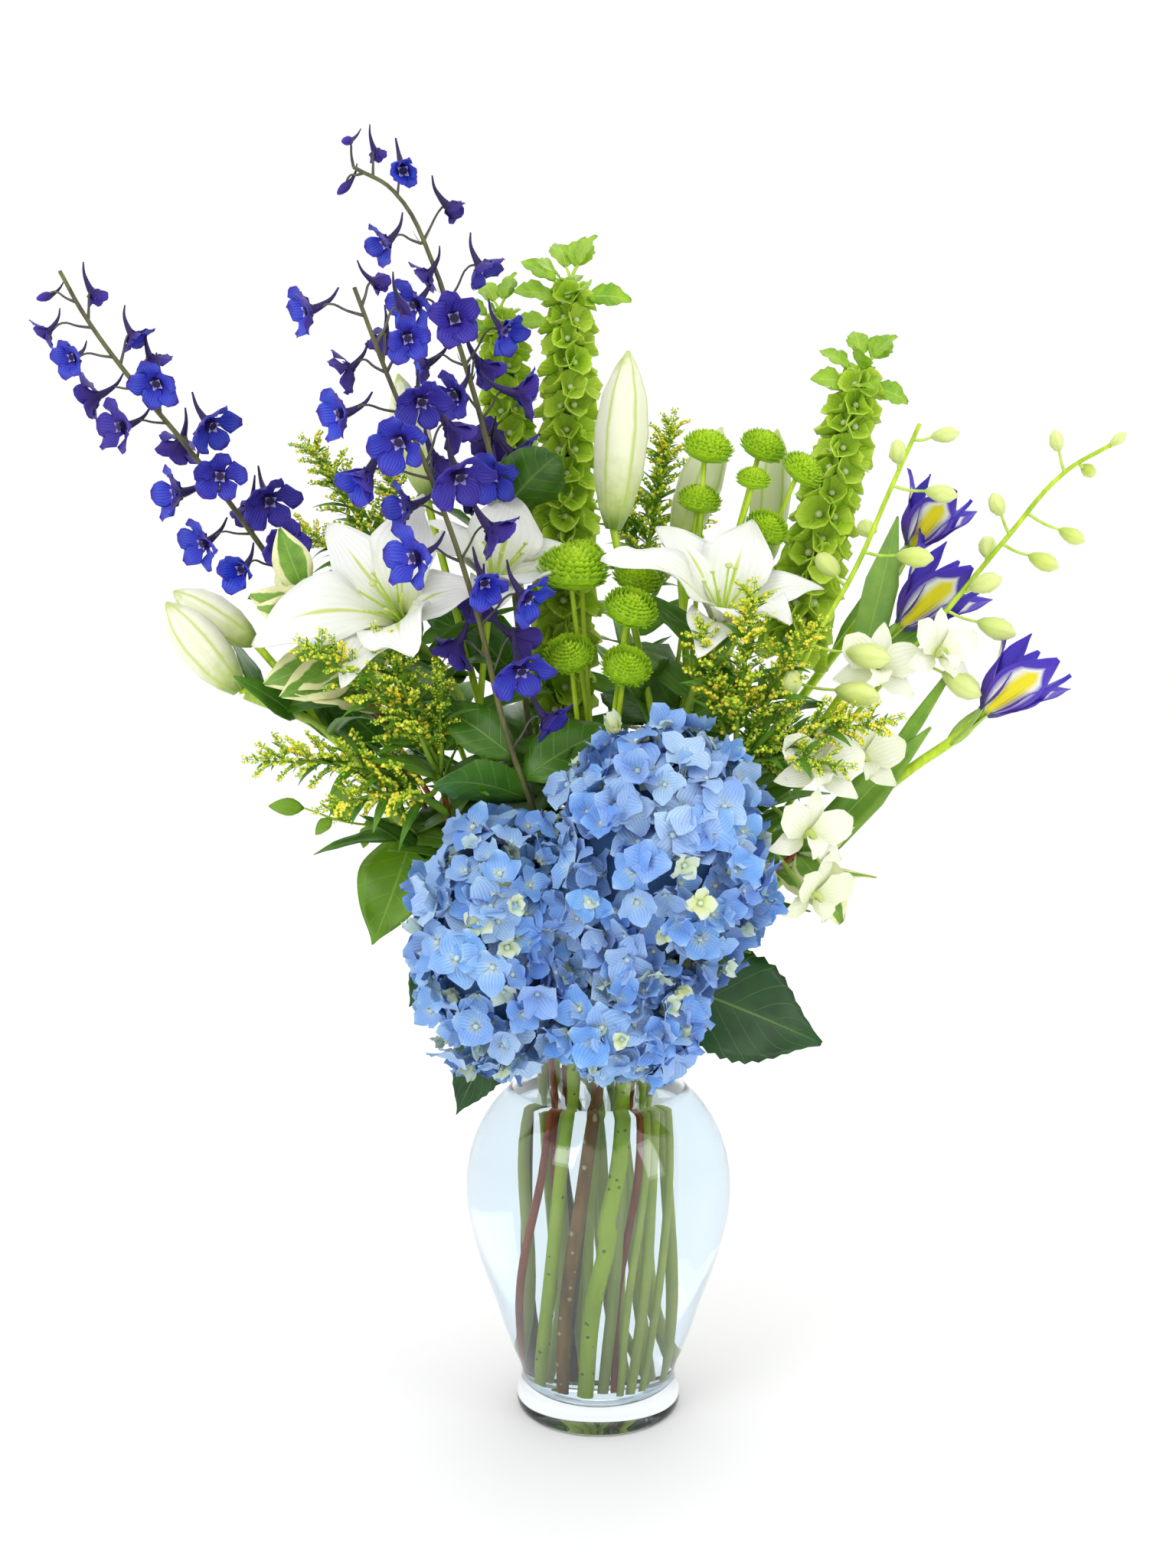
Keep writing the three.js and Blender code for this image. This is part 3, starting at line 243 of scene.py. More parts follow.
def tinted(tree, look, colour):  # each copy goes its own way towards another colour
    tint = addNode(tree, "Attribute", {"attribute_name": "tint"}).outputs["Fac"]
    return blendColours(times(tint, look["tintShare"]), colour, look["tintTo"])


def wireUp(material, colour, height, relief):
    shader = material.node_tree.nodes["Principled BSDF"]
    bump = addNode(material.node_tree, "Bump", Height=height, Strength=relief, Distance=bumpDepth)
    feed(shader.inputs["Base Color"], colour)
    feed(shader.inputs["Normal"], bump.outputs["Normal"])
    return material


def petalFinish(name, look):  # colour from throat to edge, fine lines, each petal a little other
    look = {**petalUsual, **look}
    material = newMaterial(name, Roughness=look["roughness"], Sheen_Weight=look["sheen"],
                           Specular_IOR_Level=0.3)
    tree = material.node_tree
    across, along = acrossAndAlong(tree)
    mottle = grain(tree, look["mottle"])
    colour = colourRun(plus(along, times(minus(mottle, 0.5), 0.3)), look["stops"])
    colour = tinted(tree, look, colour)
    if "patchTo" in look:  # broad cloudy patches over the whole head
        cloud = minus(grain(tree, patchLook["scale"]), patchLook["from"])
        share = times(times(cloud, patchLook["steep"], clamp=True), patchLook["share"])
        colour = blendColours(share, colour, look["patchTo"])
    swing = plus(times(across, 2 * pi * look["lines"]), times(mottle, look["lineWander"]))
    line = maths("POWER", maths("ABSOLUTE", maths("SINE", swing)), look["lineSharp"])
    colour = blendColours(times(line, look["lineShare"]), colour, look["lineColour"])
    if "tongue" in look:  # a band down the middle that ends before the tip: half-width, end, colours inwards
        width, end, bands = look["tongue"]
        depth = minus(times(times(minus(end, along), 5.0, clamp=True), width), fromMiddle(across))
        for step, band in enumerate(bands):
            share = times(minus(depth, 0.35 * width * step), 3.0 / width, clamp=True)
            colour = blendColours(share, colour, band)
    return wireUp(material, colour, plus(line, mottle), look["relief"])


def leafFinish(name, look):  # a midrib, side veins that run forward, mottling, and a pale edge if asked
    look = {**leafUsual, **look}
    material = newMaterial(name, Roughness=look["roughness"], Specular_IOR_Level=0.4)
    tree = material.node_tree
    across, along = acrossAndAlong(tree)
    mottle = grain(tree, look["mottle"], detail=4)
    colour = tinted(tree, look, colourRun(mottle, [(0.3, look["dark"]), (0.7, look["light"])]))
    fromMid = fromMiddle(across)
    slant = minus(along, times(fromMid, look["slant"]))
    wave = maths("SINE", times(slant, 2 * pi * look["veins"]))
    sideVein = maths("POWER", maths("MAXIMUM", wave, 0.0), look["veinSharp"])
    midrib = minus(1.0, times(fromMid, look["midribFine"]), clamp=True)
    vein = maths("MAXIMUM", times(sideVein, look["veinShare"]), midrib)
    colour = blendColours(times(vein, 0.8), colour, look["vein"])
    if "edge" in look:
        border = plus(fromMid, times(grain(tree, 55), 0.9))
        colour = blendColours(times(minus(border, look["edgeFrom"]), 12.0, clamp=True), colour, look["edge"])
    return wireUp(material, colour, plus(times(vein, -1.0), mottle), 0.35)


def stemFinish(name, look):  # lengthwise grain, darker patches, and where asked spots and painted light that makes the foot in the water paler
    material = newMaterial(name, Roughness=look["roughness"], Specular_IOR_Level=0.4)
    tree = material.node_tree
    fibre = grain(tree, 260, detail=4, stretch=(1, 1, 0.12))
    mixed = plus(times(fibre, 0.5), times(grain(tree, 35), 0.5))
    colour = colourRun(mixed, [(0.36, look["dark"]), (0.62, look["light"])])
    height = fibre
    coordinates = addNode(tree, "TexCoord").outputs["Object"]
    # painted light: below the water line the stem is blended towards a paler colour, for the light the glass
    # and water keep off it
    if "paintedWaterLight" in look:
        level = addNode(tree, "SeparateXYZ", Vector=coordinates).outputs["Z"]
        depth = times(minus(paintedWaterLightLook["from"], level), paintedWaterLightLook["perMetre"], clamp=True)
        colour = blendColours(times(depth, paintedWaterLightLook["share"]), colour, look["paintedWaterLight"])
    if "spot" in look:
        cells = addNode(tree, "TexVoronoi", Vector=coordinates, Scale=look["spotScale"]).outputs["Distance"]
        spot = maths("LESS_THAN", cells, look["spotSize"])
        colour = blendColours(times(spot, 0.7), colour, look["spot"])
        height = plus(fibre, spot)
    return wireUp(material, colour, height, look.get("relief", 0.4))


# --- forming shapes

outlines = {  # half-width from 0 to 1 at a share of the length
    "oval": lambda t: sin(pi * (0.03 + 0.94 * t ** 0.85)),
    "pointed": lambda t: sin(pi * (0.04 + 0.93 * t ** 0.7)) * (1 - 0.25 * t),
    "tipped": lambda t: sin(pi * (0.04 + 0.9 * t ** 0.8)) * (1 - t ** 5) ** 0.8 + 0.02,
    "round": lambda t: min(1, 0.16 + 1.9 * t) * sqrt(max(0.02, 1 - t ** 4)),
    "petal": lambda t: max(0.09, sin(pi * (0.05 + 0.92 * t ** 0.78))) ** 0.75,
    "clawed": lambda t: min(1, 0.3 + 0.35 * t + 1.9 * t * t) * sqrt(max(0.08, 1 - t ** 6)),
    "strap": lambda t: min(1, 0.3 + 3 * t, 0.06 + 2.2 * (1 - t)),
    "flare": lambda t: min(1, 0.14 + 1.9 * t, 0.05 + 1.9 * (1 - t) ** 0.75) * (0.86 + 0.14 * sin(pi * t)),
}
leastBend = 1e-3  # a flat sheet is one that hardly bends


def formBlade(length, width, outline, material, matrix, tint=0.5, back=None, across=4, along=6, rise=0.0,
              bend=0.0, fold=0.0, wave=0.0, waves=2.5, twist=0.0, teeth=0.0, thickness=0.0):  # faces +Z
    clearSelection()
    bpy.ops.mesh.primitive_grid_add(x_subdivisions=across, y_subdivisions=along, size=1)
    blade = bpy.context.object
    turn = bend if abs(bend) > leastBend else leastBend
    for vertex in blade.data.vertices:
        side, t = vertex.co.x * 2, vertex.co.y + 0.5
        half = 0.5 * width * max(0.03, outlines[outline](t))
        half *= 1 + teeth * (1 if round(t * along) % 2 else -1) * abs(side) ** 3
        lift = abs(side) * half * fold + wave * side * side * sin(2 * pi * waves * t + 1.6 * side)
        y = length * (sin(rise + turn * t) - sin(rise)) / turn
        z = length * (cos(rise) - cos(rise + turn * t)) / turn
        out, up = side * half, lift
        spin = twist * t
        vertex.co = mm(out * cos(spin) - up * sin(spin), y, z + out * sin(spin) + up * cos(spin))
    dress(blade, material, *([back] if back else []))
    if thickness:
        applyModifier(blade, "SOLIDIFY", thickness=thickness / 1000, offset=0,
                      material_offset=1 if back else 0)
    return put(blade, matrix, tint)


def turnUp(profile, segments):  # rings drawn up from a disc, each extruded; profile is (radius, height)
    clearSelection()
    radius, height = profile[0]
    bpy.ops.mesh.primitive_circle_add(vertices=segments, radius=radius / 1000, fill_type="NGON",
                                      enter_editmode=True)
    turned = bpy.context.object
    bpy.ops.transform.translate(value=(0, 0, height / 1000))
    for nextRadius, nextHeight in profile[1:]:
        up = (0, 0, (nextHeight - height) / 1000)
        bpy.ops.mesh.extrude_region_move(TRANSFORM_OT_translate={"value": up})
        wider = nextRadius / radius
        bpy.ops.transform.resize(value=(wider, wider, 1))
        radius, height = nextRadius, nextHeight
    bpy.ops.mesh.select_all(action="SELECT")
    bpy.ops.mesh.normals_make_consistent(inside=False)
    bpy.ops.object.mode_set(mode="OBJECT")
    return turned


def mapByHeight(shape):  # a turned shape is mapped round and up it, as a petal is
    heights = [vertex.co.z for vertex in shape.data.vertices]
    low, high = min(heights), max(heights)
    layer = shape.data.uv_layers.get("UVMap") or shape.data.uv_layers.new(name="UVMap")
    for loop in shape.data.loops:
        place = shape.data.vertices[loop.vertex_index].co
        turn = 0.5 + atan2(place.y, place.x) / (2 * pi)
        layer.data[loop.index].uv = (turn, (place.z - low) / (high - low))
    return shape


def turnPart(profile, segments, material, remould=None):  # turned, remoulded point by point, laid along +Y
    part = turnUp(profile, segments)
    if remould:
        for vertex in part.data.vertices:
            remould(vertex.co)
    mapByHeight(part).data.transform(quarterTurn)
    return dress(part, material)


def growStem(points, radii, material, steps=6, roundness=1):  # a curve through the points, made a mesh
    clearSelection()
    bpy.ops.curve.primitive_bezier_curve_add()
    curve = bpy.context.object.data
    knots = curve.splines[0].bezier_points
    knots.add(len(points) - 2)
    for knot, point, radius in zip(knots, points, radii):
        knot.co = point
        knot.radius = radius / 1000
        knot.handle_left_type = knot.handle_right_type = "AUTO"
    curve.resolution_u = steps
    curve.bevel_depth = 1.0
    curve.bevel_resolution = roundness
    curve.use_fill_caps = True
    bpy.ops.object.convert(target="MESH")
    stalk = bpy.context.object
    setTint(stalk, 0.5)
    return dress(stalk, material)


def stalkTo(start, end, bow, radii, material, steps=6):  # a thin stalk that bows up or down half way, in mm
    return growStem([start, start.lerp(end, 0.5) + mm(0, 0, bow), end], radii, material, steps)


def alongPath(points, share):
    place = share * (len(points) - 1)
    i = min(len(points) - 2, int(place))
    return points[i].lerp(points[i + 1], place - i)


def nearestOn(points, place):
    nearby = (alongPath(points, 0.3 + 0.01 * i) for i in range(71))
    return min(nearby, key=lambda point: (point - place).length)


def leafOn(path, share, direction, length, width, outline, material, tint, face=(0, -0.5, 1), **form):
    matrix = standing(alongPath(path, share), Vector(direction), Vector(face))
    return formBlade(length, width, outline, material, matrix, tint, **form)


# --- camera, floor and light

cameraLook = {"place": (-6, -930, 468), "pitch": 83.7, "lens": 37.8}
bpy.ops.object.camera_add(location=mm(*cameraLook["place"]), rotation=(radians(cameraLook["pitch"]), 0, 0))
camera = bpy.context.object
camera.data.lens = cameraLook["lens"]
bpy.context.scene.camera = camera

stageLook = {  # lights are place, aim, power, width and depth, in metres
    "floor": (252, 252, 252), "size": 30, "sky": 1.03,
    "lights": [((-0.9, -1.3, 1.5), (0, 0, 0.35), 8, 0.7, 1.0), ((1.3, -1.0, 1.0), (0, 0, 0.3), 4, 0.5, 0.9),
               ((0.2, 1.3, 1.6), (0, 0, 0.4), 4, 1.2, 0.8)],
}
clearSelection()
bpy.ops.mesh.primitive_plane_add(size=stageLook["size"], location=mm(0, 0, -0.4))
floor = bpy.context.object
floor.name = "floor"
dress(floor, newMaterial("paleFloor", Base_Color=shade(*stageLook["floor"]), Roughness=0.7,
                         Specular_IOR_Level=0.2))

world = bpy.data.worlds.new("studio")
bpy.context.scene.world = world
world.use_nodes = True
world.node_tree.nodes["Background"].inputs["Color"].default_value = (1, 1, 1, 1)
world.node_tree.nodes["Background"].inputs["Strength"].default_value = stageLook["sky"]
for place, aim, power, width, depth in stageLook["lights"]:
    bpy.ops.object.light_add(type="AREA", location=place)
    lamp = bpy.context.object
    lamp.data.shape = "RECTANGLE"
    lamp.data.size, lamp.data.size_y = width, depth
    lamp.data.energy = power
    lamp.rotation_euler = (Vector(aim) - Vector(place)).to_track_quat("-Z", "Y").to_euler()
bpy.context.scene.view_settings.view_transform = "Standard"
print("camera, floor and light set")


# --- vase and water

vaseLook = {  # profiles are radius and height, from the foot up
    "segments": 96, "wall": 3.5, "waterLevel": 188, "waterRim": 48.4, "overlap": 0.15,
    "lip": [(49.4, 230), (48, 229.6), (46.9, 228.2)], "floor": [(39, 14.5), (36, 13.2), (20, 12.2), (1, 12)],
    "outside": [
        (46, 0), (47.6, 1.2), (48, 4), (47.6, 8), (46, 12), (45.2, 16), (45, 20), (45.8, 24), (48, 30),
        (51.6, 38), (56.5, 52), (60.5, 65), (66, 80), (70, 92), (74, 107), (76.3, 119), (77, 130),
        (76.4, 141), (74.3, 152), (71, 162), (66.5, 171), (61, 179), (55.5, 185), (50, 190.5), (46, 195.5),
        (43.6, 200), (42.6, 205), (42.8, 210), (44.2, 217), (46.6, 223), (49, 227.6), (50, 229.3),
    ],
}
wall, overlap, level = vaseLook["wall"], vaseLook["overlap"], vaseLook["waterLevel"]
inner = [(radius - wall, height) for radius, height in vaseLook["outside"] if 15 < height < 227]
vase = turnUp(vaseLook["outside"] + vaseLook["lip"] + inner[::-1] + vaseLook["floor"], vaseLook["segments"])
clearGlass = newMaterial("clearGlass", Base_Color=shade(246, 251, 253), Roughness=0.0, IOR=1.47,
                         Transmission_Weight=1.0, Specular_IOR_Level=0.3)
finishPiece([dress(vase, clearGlass)], "clearVase", "glass", "vase")

waterWall = [(radius + overlap, height) for radius, height in inner if height < level - 2]
rimAtTop = vaseLook["waterRim"] + overlap
water = turnUp([(34, 12.2), (40.2, 15.5)] + waterWall + [(rimAtTop, level + 0.8), (rimAtTop - 1.2, level)],
               vaseLook["segments"])
clearWater = newMaterial("clearWater", Base_Color=shade(235, 242, 249), Roughness=0.0, IOR=1.333,
                         Transmission_Weight=1.0, Specular_IOR_Level=0.3)
finishPiece([dress(water, clearWater)], "water", "water", "water")
print("vase and water turned")


# --- how the cut stems stand in the vase, as in the model

stemRings = {"outer": (14, 33, 33, 41), "middle": (9, 21, 20, 26), "inner": (3, 9, 7, 9)}  # count and radii
stemStance = {"foot": 19, "neck": 206, "rim": 234, "turn": 0.78}
rimKnot = 4  # the point of each path that is at the rim


def stemPath(ring, index, *above):  # each a little crooked between the foot and the neck
    chance = random.Random(index * 7 + ord(ring[0]))
    count, atFoot, atNeck, atRim = stemRings[ring]
    angle = -pi / 2 + index / count * 2 * pi
    foot = angle - stemStance["turn"] + chance.uniform(-0.28, 0.28)
    ends = (atFoot, foot, "foot"), (atNeck, angle, "neck"), (atRim, angle, "rim")
    path = [(radius * cos(turn), radius * sin(turn), stemStance[height]) for radius, turn, height in ends]
    path[1:1] = [tuple(a + (b - a) * share + chance.uniform(-4, 4) for a, b in zip(path[0], path[1]))
                 for share in (0.35, 0.7)]
    return [mm(*point) for point in (*path, *above)]


def taper(points, foot, tip):
    return [foot + (tip - foot) * i / (len(points) - 1) for i in range(len(points))]


def mainStem(look, plant, material, roundness=2, ends=()):  # a plant's path, and its stem along it
    path = stemPath(*plant["path"], *ends)
    return path, [growStem(path, taper(path, *look["stem"]), material, roundness=roundness)]


def leavesOn(path, leaves, chance, outline, material, usualWidth=None, face=(0, -0.5, 1), **form):
    return [leafOn(path, share, direction, length, *(width or [usualWidth]), outline, material,
                   chance.random(), face, **form) for share, direction, length, *width in leaves]


def leafRun(path, run, chance):  # leaves all round a stem, between two shares of its length above the rim
    run = {"turn": 0, "teeth": 0.0, **run}
    first, last = run["from"]
    knots = len(path) - 1
    leaves = []
    for i in range(run["count"]):
        share = (rimKnot + (first + (last - first) * (i + 0.5) / run["count"]) * (knots - rimKnot)) / knots
        turn = 2.4 * i + run["turn"] + chance.uniform(-0.4, 0.4)
        direction = (cos(turn), sin(turn), chance.uniform(0.1, 0.8))
        length, width = (chance.uniform(0.75, 1.1) * part for part in run["size"])
        face = (chance.uniform(-0.6, 0.6), chance.uniform(-1.1, 0.5), chance.uniform(0.2, 1.0))
        leaves.append(leafOn(
            path, share, direction, length, width, run["outline"], run["material"], chance.random(), face,
            across=4, along=8, rise=0.3, bend=-chance.uniform(0.4, 1.0), fold=0.2, wave=run["wave"],
            twist=chance.uniform(-0.4, 0.4), teeth=run["teeth"], thickness=0.3))
    return leaves


# each stem's paler colour for its part in the water is painted light
greenStem = stemFinish("greenStem", {
    "dark": (130, 172, 4), "light": (200, 226, 48), "paintedWaterLight": (222, 236, 120), "roughness": 0.42,
})
softStem = stemFinish("softStem", {
    "dark": (120, 160, 30), "light": (180, 206, 90), "paintedWaterLight": (230, 236, 146), "roughness": 0.46,
})
speckledStem = stemFinish("speckledStem", {
    "dark": (144, 194, 4), "light": (198, 232, 30), "spot": (50, 64, 12), "paintedWaterLight": (214, 240, 60),
    "spotScale": 180, "spotSize": 0.18, "roughness": 0.5,
})
woodyStem = stemFinish("woodyStem", {
    "dark": (122, 82, 20), "light": (178, 132, 50), "spot": (246, 232, 160), "spotScale": 170,
    "spotSize": 0.21, "roughness": 0.7, "relief": 0.7,
})
redStem = stemFinish("redStem", {"dark": (142, 54, 30), "light": (200, 104, 54), "roughness": 0.5})
darkStem = stemFinish("darkStem", {"dark": (66, 60, 50), "light": (114, 116, 64), "roughness": 0.5})
thinStalk = stemFinish("thinStalk", {"dark": (58, 50, 62), "light": (96, 98, 76), "roughness": 0.5})
paleStem = stemFinish("paleStem", {"dark": (160, 200, 50), "light": (210, 230, 110), "roughness": 0.42})
darkLeaf = leafFinish("darkLeaf", {
    "tintTo": (100, 146, 34), "dark": (34, 80, 12), "light": (66, 118, 22), "vein": (120, 158, 66),
    "roughness": 0.38, "mottle": 70, "veins": 7,
})
broadFoliage = {
    "count": 13, "from": (0.04, 0.6), "size": (66, 33), "outline": "oval", "material": darkLeaf, "wave": 1.2,
    "teeth": 0.02,
}


# --- hydrangeas

hydrangeaLook = {  # florets of each kind are seed, cup, curl and size
    "heads": {
        "right": {
            "middle": (29, -86, 334), "half": (57, 50, 70), "florets": 176, "ring": ("outer", 1), "seed": 3,
        },
        "left": {
            "middle": (-53, -82, 290), "half": (41, 45, 66), "florets": 138, "ring": ("outer", 13),
            "seed": 4,
        },
        "low": {
            "middle": (13, -98, 254), "half": (36, 31, 28), "florets": 70, "ring": ("outer", 0), "seed": 5,
        },
    },
    "open": [
        (1, 0.1, 0.4, 1.0), (2, -0.1, 0.2, 1.05), (3, 0.4, 0.4, 1.0), (4, 0.75, 0.5, 1.0),
        (5, 0.2, 0.9, 1.05), (6, 0.1, -0.5, 0.9), (9, 0.55, -0.2, 0.85), (10, 0.9, 0.9, 1.1),
    ],
    "young": [(7, 1.0, 0.6, 0.6), (8, 0.5, 0.8, 0.74), (11, 1.2, 0.2, 0.7)], "petal": (14.5, 15.0),
    "deeper": 0.84, "hidden": 0.66, "youngShare": 0.2, "stem": (3.4, 3.2),
}
hydrangeaPetal = petalFinish("hydrangeaPetal", {
    "stops": [
        (0.0, (214, 226, 184)), (0.12, (190, 216, 224)), (0.28, (136, 186, 238)), (0.6, (110, 166, 232)),
        (0.88, (134, 186, 240)), (1.0, (186, 218, 246)),
    ],
    "tintTo": (204, 226, 236), "lineColour": (84, 132, 214), "patchTo": (96, 138, 230), "tintShare": 0.66,
    "lines": 4, "relief": 0.35,
})
hydrangeaYoung = petalFinish("hydrangeaYoung", {
    "stops": [(0.0, (196, 212, 110)), (0.35, (220, 230, 168)), (1.0, (226, 236, 222))],
    "tintTo": (176, 208, 232), "lineColour": (176, 196, 120), "tintShare": 0.85,
})
# painted shade: the ball inside each head is a darker blue, for the shade in the gaps between the florets
hydrangeaShadedCore = petalFinish("hydrangeaShadedCore", {
    "stops": [(0.0, (70, 112, 170)), (1.0, (92, 142, 204))], "tintTo": (76, 120, 160),
    "lineColour": (60, 96, 120), "roughness": 0.8, "lineShare": 0.25,
})
hydrangeaLeaf = leafFinish("hydrangeaLeaf", {
    "tintTo": (40, 92, 26), "dark": (8, 48, 12), "light": (24, 78, 20), "vein": (110, 150, 76),
    "roughness": 0.38, "mottle": 70, "tintShare": 0.3, "slant": 0.3, "veins": 8, "veinSharp": 90.0,
    "midribFine": 26,
})


def formFloret(material, seed, cup, curl, reach):  # four broad petals that never quite match
    chance = random.Random(seed)
    length, width = hydrangeaLook["petal"]
    pieces = []
    for k in range(4):
        own = reach * chance.uniform(0.86, 1.1)
        form = {"rise": cup + chance.uniform(-0.2, 0.3), "bend": -curl + chance.uniform(-0.3, 0.3),
                "fold": chance.uniform(-0.1, 0.25), "wave": chance.uniform(0.6, 1.7),
                "twist": chance.uniform(-0.5, 0.5)}
        out = spoke(k * pi / 2 + chance.uniform(-0.15, 0.15))
        along = (out + Vector((0, 0.2 + 0.14 * (k % 2), 0))).normalized()
        pieces.append(formBlade(
            length * own, width * own, "petal", material, standing(out * 0.001, along, yAxis), across=4,
            along=4, waves=1.5, **form))
    pieces.append(turnPart([(1.0, -1), (1.7, 0.6), (1.4, 1.8), (0.4, 2.4)], 6, hydrangeaYoung))
    return joinShapes(pieces, "floret")


def roundSpread(count):  # even places all over a ball
    golden = pi * (3 - sqrt(5))
    for i in range(count):
        z = 1 - 2 * (i + 0.5) / count
        yield Vector((sqrt(1 - z * z) * cos(golden * i), sqrt(1 - z * z) * sin(golden * i), z))


def insideOther(place, name):
    for other, head in hydrangeaLook["heads"].items():
        offset = (place - mm(*head["middle"])) * 1000
        depth = sum((offset[k] / head["half"][k]) ** 2 for k in range(3))
        if other != name and depth < hydrangeaLook["hidden"]:
            return True
    return False


openFlorets = [formFloret(hydrangeaPetal, *floret) for floret in hydrangeaLook["open"]]
youngFlorets = [formFloret(hydrangeaYoung, *floret) for floret in hydrangeaLook["young"]]
for name, head in hydrangeaLook["heads"].items():
    chance = random.Random(head["seed"])
    middle, half = mm(*head["middle"]), mm(*head["half"])
    clearSelection()
    # a ball that fills the head, in the painted-shade material
    bpy.ops.mesh.primitive_ico_sphere_add(subdivisions=3, radius=1)
    core = dress(bpy.context.object, hydrangeaShadedCore)
    pieces = [put(core, Matrix.Translation(middle) @ Matrix.Diagonal((*(half * 0.72), 1)))]
    for depth, count in ((1.0, head["florets"]), (hydrangeaLook["deeper"], int(0.85 * head["florets"]))):
        for direction in roundSpread(count):
            direction = (direction + jitter(chance, 0.1)).normalized()
            reach = Vector([direction[k] * half[k] for k in range(3)])
            place = middle + reach * depth * chance.uniform(0.9, 1.05)
            if insideOther(place, name):
                continue
            facing = Vector([direction[k] / half[k] for k in range(3)]).normalized()
            facing = (facing + jitter(chance, 0.6)).normalized()
            roll = jitter(chance, 1)
            young = chance.random() < hydrangeaLook["youngShare"]
            pattern = chance.choice(youngFlorets if young else openFlorets)
            matrix = standing(place, facing, roll, chance.uniform(0.74, 1.06))
            pieces.append(copyTo(pattern, matrix, chance.random() ** 1.2))
    finishPiece(pieces, "hydrangeaHead_" + name, "hydrangea_petals", "hydrangea_head_" + name)
discard(*openFlorets, *youngFlorets)

hydrangeaLeaves = {  # where on the stem, root, direction, facing, length, width
    "right": [
        (0.55, (36, -54, 264), (0.9, 0.02, -0.36), (0.1, -0.9, 0.5), 94, 62),
        (0.5, (30, -40, 268), (0.75, 0.55, 0.2), (0, -0.5, 0.8), 62, 46),
    ],
    "left": [
        (0.56, (-44, -50, 254), (-0.48, 0.02, -0.88), (-0.4, -0.85, 0.2), 76, 38),
        (0.6, (-58, -46, 262), (-0.95, 0.12, 0.1), (0, -0.75, 0.7), 46, 34),
        (0.7, (-72, -48, 290), (-0.62, -0.1, -0.78), (-0.3, -0.9, 0.2), 52, 32),
    ],
    "low": [],
}
for name, head in hydrangeaLook["heads"].items():
    middle, half = Vector(head["middle"]), head["half"]
    below = middle + Vector((0, 0.35 * half[1], -0.55 * half[2]))
    path = stemPath(*head["ring"], below, middle.lerp(below, 0.4))
    radii = taper(path, *hydrangeaLook["stem"])
    if name == "right":  # the thickest one, with a joint half way up
        radii = [radius * 1.25 for radius in radii]
        joint = path[1].lerp(path[2], 0.5)
        path[2:2] = [joint - mm(0, 0, 5), joint, joint + mm(0, 0, 5)]
        radii[2:2] = [radii[2], radii[2] * 1.22, radii[2]]
    pieces = [growStem(path, radii, woodyStem if name == "low" else speckledStem, roundness=3)]
    for share, root, along, face, length, width in hydrangeaLeaves[name]:
        matrix = standing(mm(*root), Vector(along), Vector(face))
        pieces.append(formBlade(
            length, width, "tipped", hydrangeaLeaf, matrix, 0.3, across=10, along=26, rise=0.1, bend=-0.3,
            fold=0.16, wave=1.6, teeth=0.035, thickness=0.5))
        pieces.append(stalkTo(alongPath(path[-5:], share), mm(*root), -2, [1.8, 1.5, 1.1], greenStem))
    finishPiece(pieces, "hydrangeaStem_" + name, "green_stems", "hydrangea_stem_" + name)
print("hydrangeas made")


# --- delphiniums

